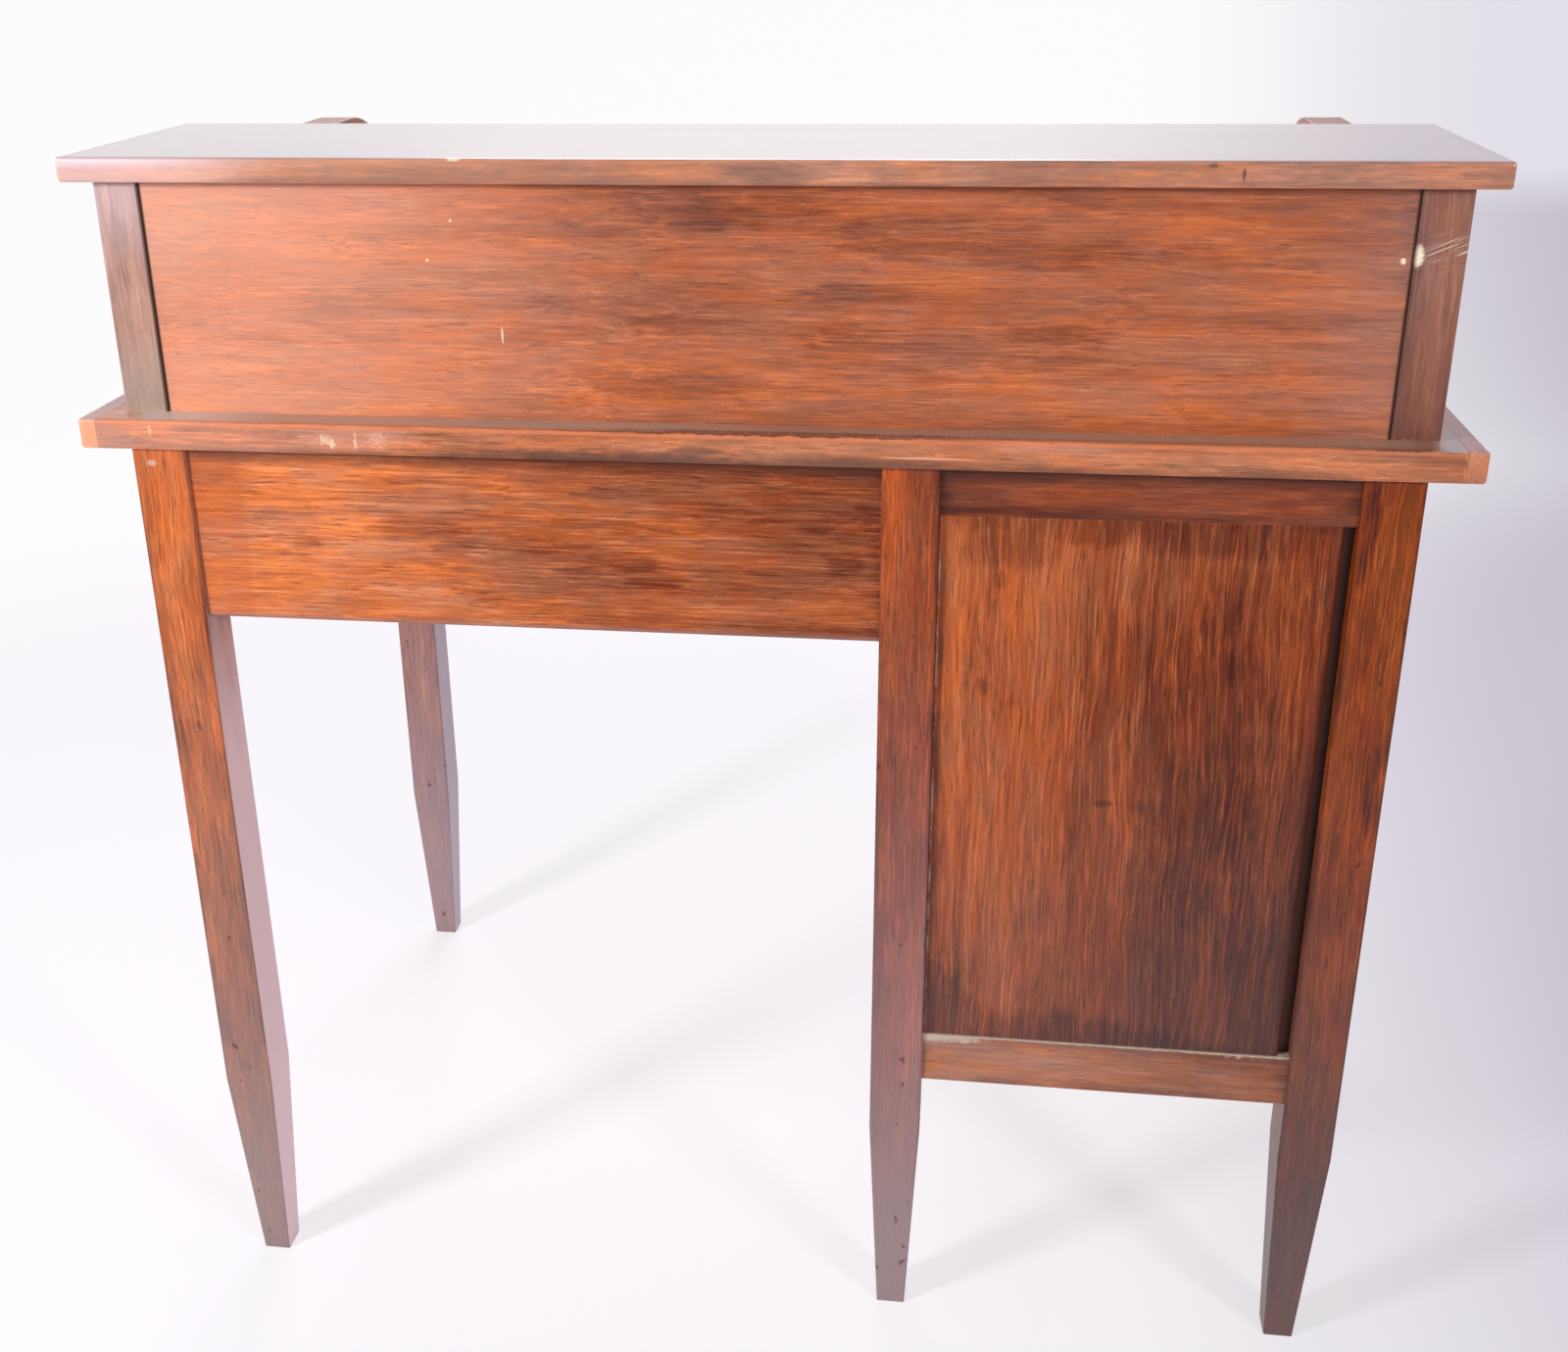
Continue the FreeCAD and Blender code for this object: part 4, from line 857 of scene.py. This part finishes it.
# The drift along X makes the panel lighter towards +X: painted light falling off from the lamp.
dress_board(
    "pedestal_back_panel", "z", shades((128, 59, 27), 50, VIVID), bands=0.5, streaks=1.1,
    bend=0.03, drift=[("x", -0.41, -0.16, 0.4), ("z", 0.26, 0.7, 0.2)], wear=0.3, gloss=0.2,
    marks=panel_marks, smudges=PANEL_SMUDGES, seed=28.0)
print("back panel dressed")

# %% [markdown]
# ## The rest of the frame
# The side and front boards match the rear ones, without marks of their own: the recipe gives each a
# figure from its own seed, and dirt, painted shade and wear from its own box, so no two look
# alike.

# %% Side and front boards
SIDE_BOARDS = {
    "right_side_apron": ("y", (176, 98, 58)), "frieze_front_rails": ("x", (150, 78, 48)),
    "pedestal_outer_rails": ("y", (140, 70, 42)), "pedestal_inner_rails": ("y", (140, 70, 42)),
    "pedestal_front_rails": ("x", (142, 72, 44)), "pedestal_outer_panel": ("z", (144, 72, 42)),
    "pedestal_inner_panel": ("z", (144, 72, 42))}
for index, (name, (grain, colour)) in enumerate(SIDE_BOARDS.items()):
    dress_board(name, grain, shades(colour, 44), flecks=0.5, wear=0.4, seed=30.0 + index)
print("frame dressed", len(SIDE_BOARDS))

# %% [markdown]
# ## Drawers, pigeonholes and roll
# Drawer fronts match the frame. Inside, the drawers and their runners are a plain pale wood that
# was never polished, so their gloss is low. The pigeonholes are thin stained boards, and the slats
# of the roll are cut from the wood of the frame. Boards of one kind share their tones and differ in
# their seed, so one function dresses a whole group.

# %% Drawers, nest and roll
FRONT_TONES = shades((156, 80, 46), 44)
LINING_TONES = shades((198, 152, 112), 31)
NEST_TONES = shades((148, 88, 56), 41)
SLAT_TONES = shades((150, 78, 48), 41)
DRAWERS = ("frieze", "upper", "middle", "lower")
NEST_GRAIN = {
    "nest_top": "x", "nest_bottom": "x", "nest_plinth": "x", "nest_back": "x",
    "nest_partitions": "z", "nest_shelves": "x"}
RUNNERS = ("pedestal_dust_board", "frieze_drawer_runners", "pedestal_drawer_runners")
SLATS = ("roll_leading_rail", "roll_slats", "roll_tail_slats")


def dress_group(names, grain, tones, first_seed, **look):
    """Dress alike boards, each with its own seed; grain is one axis, or an axis for each name."""
    for index, name in enumerate(names):
        axis = grain[name] if isinstance(grain, dict) else grain
        dress_board(name, axis, tones, seed=first_seed + index, **look)


dress_group([f"{name}_drawer_front" for name in DRAWERS], "x", FRONT_TONES, 40.0, dirt=0.3)
dress_group(
    [f"{name}_drawer_carcase" for name in DRAWERS], "y", LINING_TONES, 50.0, dirt=0.2, wear=0.1,
    gloss=0.1)
dress_group(
    [f"{name}_drawer_bottom" for name in DRAWERS], "x", LINING_TONES, 60.0, dirt=0.3, wear=0.1,
    gloss=0.1)
dress_group([f"nest_{side}_drawer_front" for side in ("left", "right")], "x", FRONT_TONES, 44.0)
dress_group(
    [f"nest_{side}_drawer_tray" for side in ("left", "right")], "y", LINING_TONES, 64.0,
    gloss=0.1)
dress_group(NEST_GRAIN, NEST_GRAIN, NEST_TONES, 70.0, gloss=0.3)
dress_group(RUNNERS, "y", LINING_TONES, 80.0, gloss=0.0)
dress_group(SLATS, "x", SLAT_TONES, 90.0, dirt=0.2)
print("drawers, nest and roll dressed")

# %% [markdown]
# ## Brass knobs
# The knobs are turned brass: a rose that sits on the wood, a cove for the fingers, a bead and a
# domed head with a button. A lathe turns one outline about an axis, and so does this function: it
# carries a ring of points from one point of the outline to the next. The CAD knobs have the same
# length and width with a plainer outline, and these replace them.

# %% Knob outline
# Each point is a share of the knob's radius and a share of its length, from the wood outwards.
KNOB_OUTLINE = (
    (0.333, 0.0), (0.70, 0.0), (0.70, 0.045), (0.665, 0.075), (0.60, 0.085), (0.585, 0.115),
    (0.53, 0.15), (0.465, 0.21), (0.435, 0.28), (0.44, 0.34), (0.475, 0.395), (0.53, 0.425),
    (0.575, 0.45), (0.575, 0.475), (0.53, 0.50), (0.555, 0.53), (0.68, 0.555), (0.83, 0.60),
    (0.94, 0.655), (0.99, 0.71), (1.0, 0.755), (0.985, 0.80), (0.93, 0.85), (0.83, 0.895),
    (0.70, 0.93), (0.55, 0.955), (0.42, 0.965), (0.385, 0.955), (0.35, 0.965), (0.30, 0.985),
    (0.20, 0.996), (0.10, 1.0))
KNOB_SIDES = 48


def knob_mesh(name, centres, face, radius, length, spigot):
    """Knobs turned about -Y from a face; centres are (x, z) pairs, everything in metres."""
    outline = [(radius / 3, -spigot)] + [(r * radius, t * length) for r, t in KNOB_OUTLINE]
    vertices, faces = [], []
    for x, z in centres:
        first = len(vertices)
        for ring_radius, out in outline:
            for side in range(KNOB_SIDES):
                angle = 2 * math.pi * side / KNOB_SIDES
                vertices.append((x + ring_radius * math.cos(angle), face - out,
                                 z + ring_radius * math.sin(angle)))
        for ring in range(len(outline) - 1):
            start = first + ring * KNOB_SIDES
            for side in range(KNOB_SIDES):
                after = (side + 1) % KNOB_SIDES
                faces.append((start + side, start + after, start + KNOB_SIDES + after,
                              start + KNOB_SIDES + side))
        last = first + (len(outline) - 1) * KNOB_SIDES
        faces.append(tuple(range(first + KNOB_SIDES - 1, first - 1, -1)))
        faces.append(tuple(range(last, last + KNOB_SIDES)))
    mesh = bpy.data.meshes.new(name)
    mesh.from_pydata(vertices, [], faces)
    for polygon in mesh.polygons:
        polygon.use_smooth = len(polygon.vertices) == 4
    mesh.update()
    return mesh


print("points in a knob's outline", len(KNOB_OUTLINE) + 1)

# %% [markdown]
# ## Aged brass
# Old brass is bright where fingers rub the head and brown in the cove. So the finish looks at how
# far a point stands out from the wood and from the axis of its knob: both are known from the place,
# where a painted mask would need an unwrapped mesh. Fine noise gives the patina and its dark spots.

# %% Brass finish


def brass(name, centres, face, radius, length):
    """Aged brass, bright on the head and brown in the cove."""
    finish = new_finish(name)
    x, y, z = finish.place()
    axis = None
    for centre_x, centre_z in centres:
        gap = ((x - centre_x) ** 2.0 + (z - centre_z) ** 2.0) ** 0.5
        axis = gap if axis is None else axis.least(gap)
    out = (face - y) / length
    head = finish.step(out, 0.5, 0.72) * finish.step(axis / radius, 0.3, 0.46)
    patina = finish.noise(x * 260, y * 260, z * 260, detail=4, roughness=0.65)
    spots = finish.noise(x * 900, y * 900, z * 900)
    colour = finish.ramp(patina + (head - 0.5) * 0.35, [
        (0.25, (96, 66, 32)), (0.5, (158, 118, 62)), (0.75, (214, 176, 108))])
    colour = finish.mix(finish.step(spots, 0.62, 0.72) * 0.5, colour, (72, 50, 30))
    return finish.shade({
        "Base Color": colour, "Metallic": 1.0, "Roughness": 0.42 - head * 0.16 + patina * 0.1,
        "Normal": finish.bump(patina * 0.6 + spots * 0.4, 0.06 * MM, 0.4)})


print("brass ready")

# %% [markdown]
# ## Knobs in their places
# Each knob takes the place of the CAD knob that it replaces, with its front where the CAD knob's
# front is and one of the sizes given below, and rides on the same body, so that it moves with its
# drawer. The frieze drawer and the roll are wide and have a pair.

# %% Knobs for the drawers and the roll
# The radius, the length in front of the wood, and the length of the spigot inside it.
LARGE_KNOB = (12 * MM, 22 * MM, 18 * MM)
SMALL_KNOB = (8 * MM, 15 * MM, 9 * MM)


def make_knobs(node, body, size, pair):
    """Turned knobs in place of a CAD node, one in its middle or a pair at its ends."""
    low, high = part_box(node)
    radius, length, spigot = size
    face = low[1] + length
    middle_z = (low[2] + high[2]) / 2
    places = (low[0] + radius, high[0] - radius) if pair else ((low[0] + high[0]) / 2,)
    centres = [(place, middle_z) for place in places]
    name = node + "_turned"
    spigot = min(spigot, high[1] - face)
    mesh = knob_mesh(name, centres, face, radius, length, spigot)
    mesh.materials.append(brass(node + "_brass", centres, face, radius, length))
    made = bpy.data.objects.new(name, mesh)
    bpy.context.scene.collection.objects.link(made)
    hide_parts(node)
    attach(made, body)


for name in DRAWERS:
    make_knobs(name + "_drawer_knob", name + "_drawer", LARGE_KNOB, pair=name == "frieze")
for side in ("left", "right"):
    make_knobs(f"nest_{side}_drawer_knob", f"nest_{side}_drawer", SMALL_KNOB, pair=False)
make_knobs("roll_knobs", "roll", SMALL_KNOB, pair=True)
print("knobs turned")

# %% [markdown]
# ## Canvas
# The slats are glued to a strip of linen canvas, which bends between them. A plain weave is two
# sets of threads at right angles, and modelling each would take far too many faces. Two sine waves
# at right angles give the threads as a bump, noise makes them uneven, and slower noise soils them.

# %% Weave
THREAD = 1.1 * MM


def canvas(name, seed):
    """Soiled linen, with its threads across and along the roll."""
    finish = new_finish(name)
    x, y, z = finish.place()
    weft, warp = (
        abs(finish.value("ShaderNodeMath", {"operation": "SINE"}, {
            0: along * (2 * math.pi / THREAD)}))
        for along in (y + z, x))
    threads = weft * 0.5 + warp * 0.5
    slub = finish.noise(x * 300 + seed, y * 60, z * 60)
    soil = finish.noise(x * 12 + seed, y * 20, z * 20, detail=3)
    colour = finish.ramp(threads * 0.6 + slub * 0.4, [
        (0.2, (92, 80, 60)), (0.6, (160, 146, 116)), (0.9, (192, 180, 150))])
    colour = finish.mix(finish.step(soil, 0.45, 0.75) * 0.5, colour, (96, 78, 56))
    return finish.shade({
        "Base Color": colour, "Roughness": 0.9,
        "Normal": finish.bump(threads * 0.7 + slub * 0.3, 0.3 * MM, 0.7)})


dress("roll_canvas", canvas("roll_canvas_weave", 0.0))
dress("roll_tail_canvas", canvas("roll_tail_canvas_weave", 5.0))
print("canvas dressed")

# %% [markdown]
# ## The paper floor
# The desk stands on a wide sweep of pale paper, flat under it and bent up behind it, so that no
# corner shows. White paper under lamps that suit the wood would come out grey. More lamp light
# would bleach the wood, so the paper is partly its own light, but only for rays that come from the
# camera, straight or by way of something shiny: it stays white there, it keeps the soft shadows in
# its other part, and the desk gets no light from it. On one side it falls off into a soft cool
# shade.

# %% Rays from the camera


def seen_directly(finish):
    """1 for what the camera sees, straight, mirrored or through glass, and 0 for other light."""
    path = finish.node("ShaderNodeLightPath").outputs
    straight, mirrored, through = (
        Value(finish, path[kind])
        for kind in ("Is Camera Ray", "Is Glossy Ray", "Is Transmission Ray"))
    return straight.most(mirrored).most(through)


print("rays told apart")

# %% Paper floor
PAPER = (240, 235, 247)
WHITE = (255, 254, 255)
OWN_LIGHT, FAR_OWN_LIGHT = 0.68, 0.29
PAPER_HALF_WIDTH = 7.0
PAPER_NEAR_END = 7.0
BEND_START, BEND_RADIUS, BEND_STEPS = -2.6, 1.2, 12
WALL_HEIGHT = 5.0


def paper_profile():
    """Points of the sweep as (y, z): flat floor, a wide bend and a wall."""
    points = [(PAPER_NEAR_END, 0.0), (BEND_START, 0.0)]
    for step in range(1, BEND_STEPS + 1):
        angle = math.radians(90 * step / BEND_STEPS)
        points.append((BEND_START - BEND_RADIUS * math.sin(angle),
                       BEND_RADIUS - BEND_RADIUS * math.cos(angle)))
    return points + [(BEND_START - BEND_RADIUS, WALL_HEIGHT)]


def paper_finish():
    finish = new_finish("paper_white")
    x, y, z = finish.place()
    far = 1 - finish.step(y, -2.4, -0.9)
    around = finish.step((x ** 2.0 + y ** 2.0) ** 0.5, 1.3, 2.3)
    shade = 1 - finish.step(x * (1 - far * 0.55), -1.0, -0.25)
    shade = shade * (1 - finish.step(y, 0.6, 2.4)) * finish.step(x, -5.5, -3.4)
    shaded_floor = finish.mix(finish.step(y, -0.9, 0.1), (200, 194, 207), (182, 176, 190))
    shaded_wall = finish.mix(finish.step(z, 0.33, 0.46), (194, 188, 200), (232, 228, 238))
    colour = finish.mix(shade, WHITE, shaded_floor)
    colour = finish.mix(far * shade, colour, shaded_wall)
    lit = finish.node("ShaderNodeBsdfDiffuse", inputs={"Color": rgba(PAPER)})
    own_light = finish.node("ShaderNodeEmission", inputs={"Color": colour})
    share = seen_directly(finish) * (OWN_LIGHT + far.most(around) * FAR_OWN_LIGHT)
    both = finish.node("ShaderNodeMixShader", inputs={
        0: share, 1: lit.outputs[0], 2: own_light.outputs[0]})
    finish.node("ShaderNodeOutputMaterial", inputs={"Surface": both.outputs[0]})
    return finish.owner


def make_paper():
    profile = paper_profile()
    mesh = bpy.data.meshes.new("paper")
    vertices = [(x, y, z) for x in (-PAPER_HALF_WIDTH, PAPER_HALF_WIDTH) for y, z in profile]
    count = len(profile)
    faces = [(i, i + 1, count + i + 1, count + i) for i in range(count - 1)]
    mesh.from_pydata(vertices, [], faces)
    for polygon in mesh.polygons:
        polygon.use_smooth = True
    paper = bpy.data.objects.new("paper", mesh)
    bpy.context.scene.collection.objects.link(paper)
    mesh.materials.append(paper_finish())
    return len(faces)


print("paper strips", make_paper())

# %% [markdown]
# ## Lamps and room
# Two soft lamps stand on the side of the camera, the left one stronger, which gives each leg two
# faint shadows. A third, larger one lights the front of the desk for the other views. The room adds
# a weak even light from all round, so that no side is black, and where the camera looks past the
# paper it sees the room as white.

# %% Lamps
# The place, the target, the size and the power of each lamp, in metres and watts.
LAMPS = {
    "left_lamp": ((1.7, 1.6, 1.3), (0.15, 0.2, 0.6), 0.35, 45.0),
    "right_lamp": ((-1.6, 1.7, 1.4), (-0.1, 0.2, 0.6), 0.35, 22.0),
    "front_lamp": ((0.3, -2.3, 2.6), (0.0, -0.2, 0.5), 1.6, 60.0)}


def make_lamp(name, place, target, size, power):
    data = bpy.data.lights.new(name, "AREA")
    data.shape = "SQUARE"
    data.size = size
    data.energy = power
    made = bpy.data.objects.new(name, data)
    bpy.context.scene.collection.objects.link(made)
    made.location = place
    aim = Vector(target) - Vector(place)
    made.rotation_euler = aim.to_track_quat("-Z", "Y").to_euler()


for name, settings in LAMPS.items():
    make_lamp(name, *settings)
print("lamps lit", len(LAMPS))

# %% Room
ROOM_LIGHT, ROOM_STRENGTH = (246, 243, 250), 0.25
ROOM_SEEN = (252, 251, 253)

world = bpy.data.worlds.new("room")
bpy.context.scene.world = world
room = Finish(world)
around_desk, backdrop = (
    room.node("ShaderNodeBackground", inputs={"Color": rgba(colour), "Strength": strength})
    for colour, strength in ((ROOM_LIGHT, ROOM_STRENGTH), (ROOM_SEEN, 1.0)))
either = room.node("ShaderNodeMixShader", inputs={
    0: seen_directly(room), 1: around_desk.outputs[0], 2: backdrop.outputs[0]})
room.node("ShaderNodeOutputWorld", inputs={"Surface": either.outputs[0]})
bpy.context.scene.view_settings.view_transform = "Standard"
print("room strength", ROOM_STRENGTH)
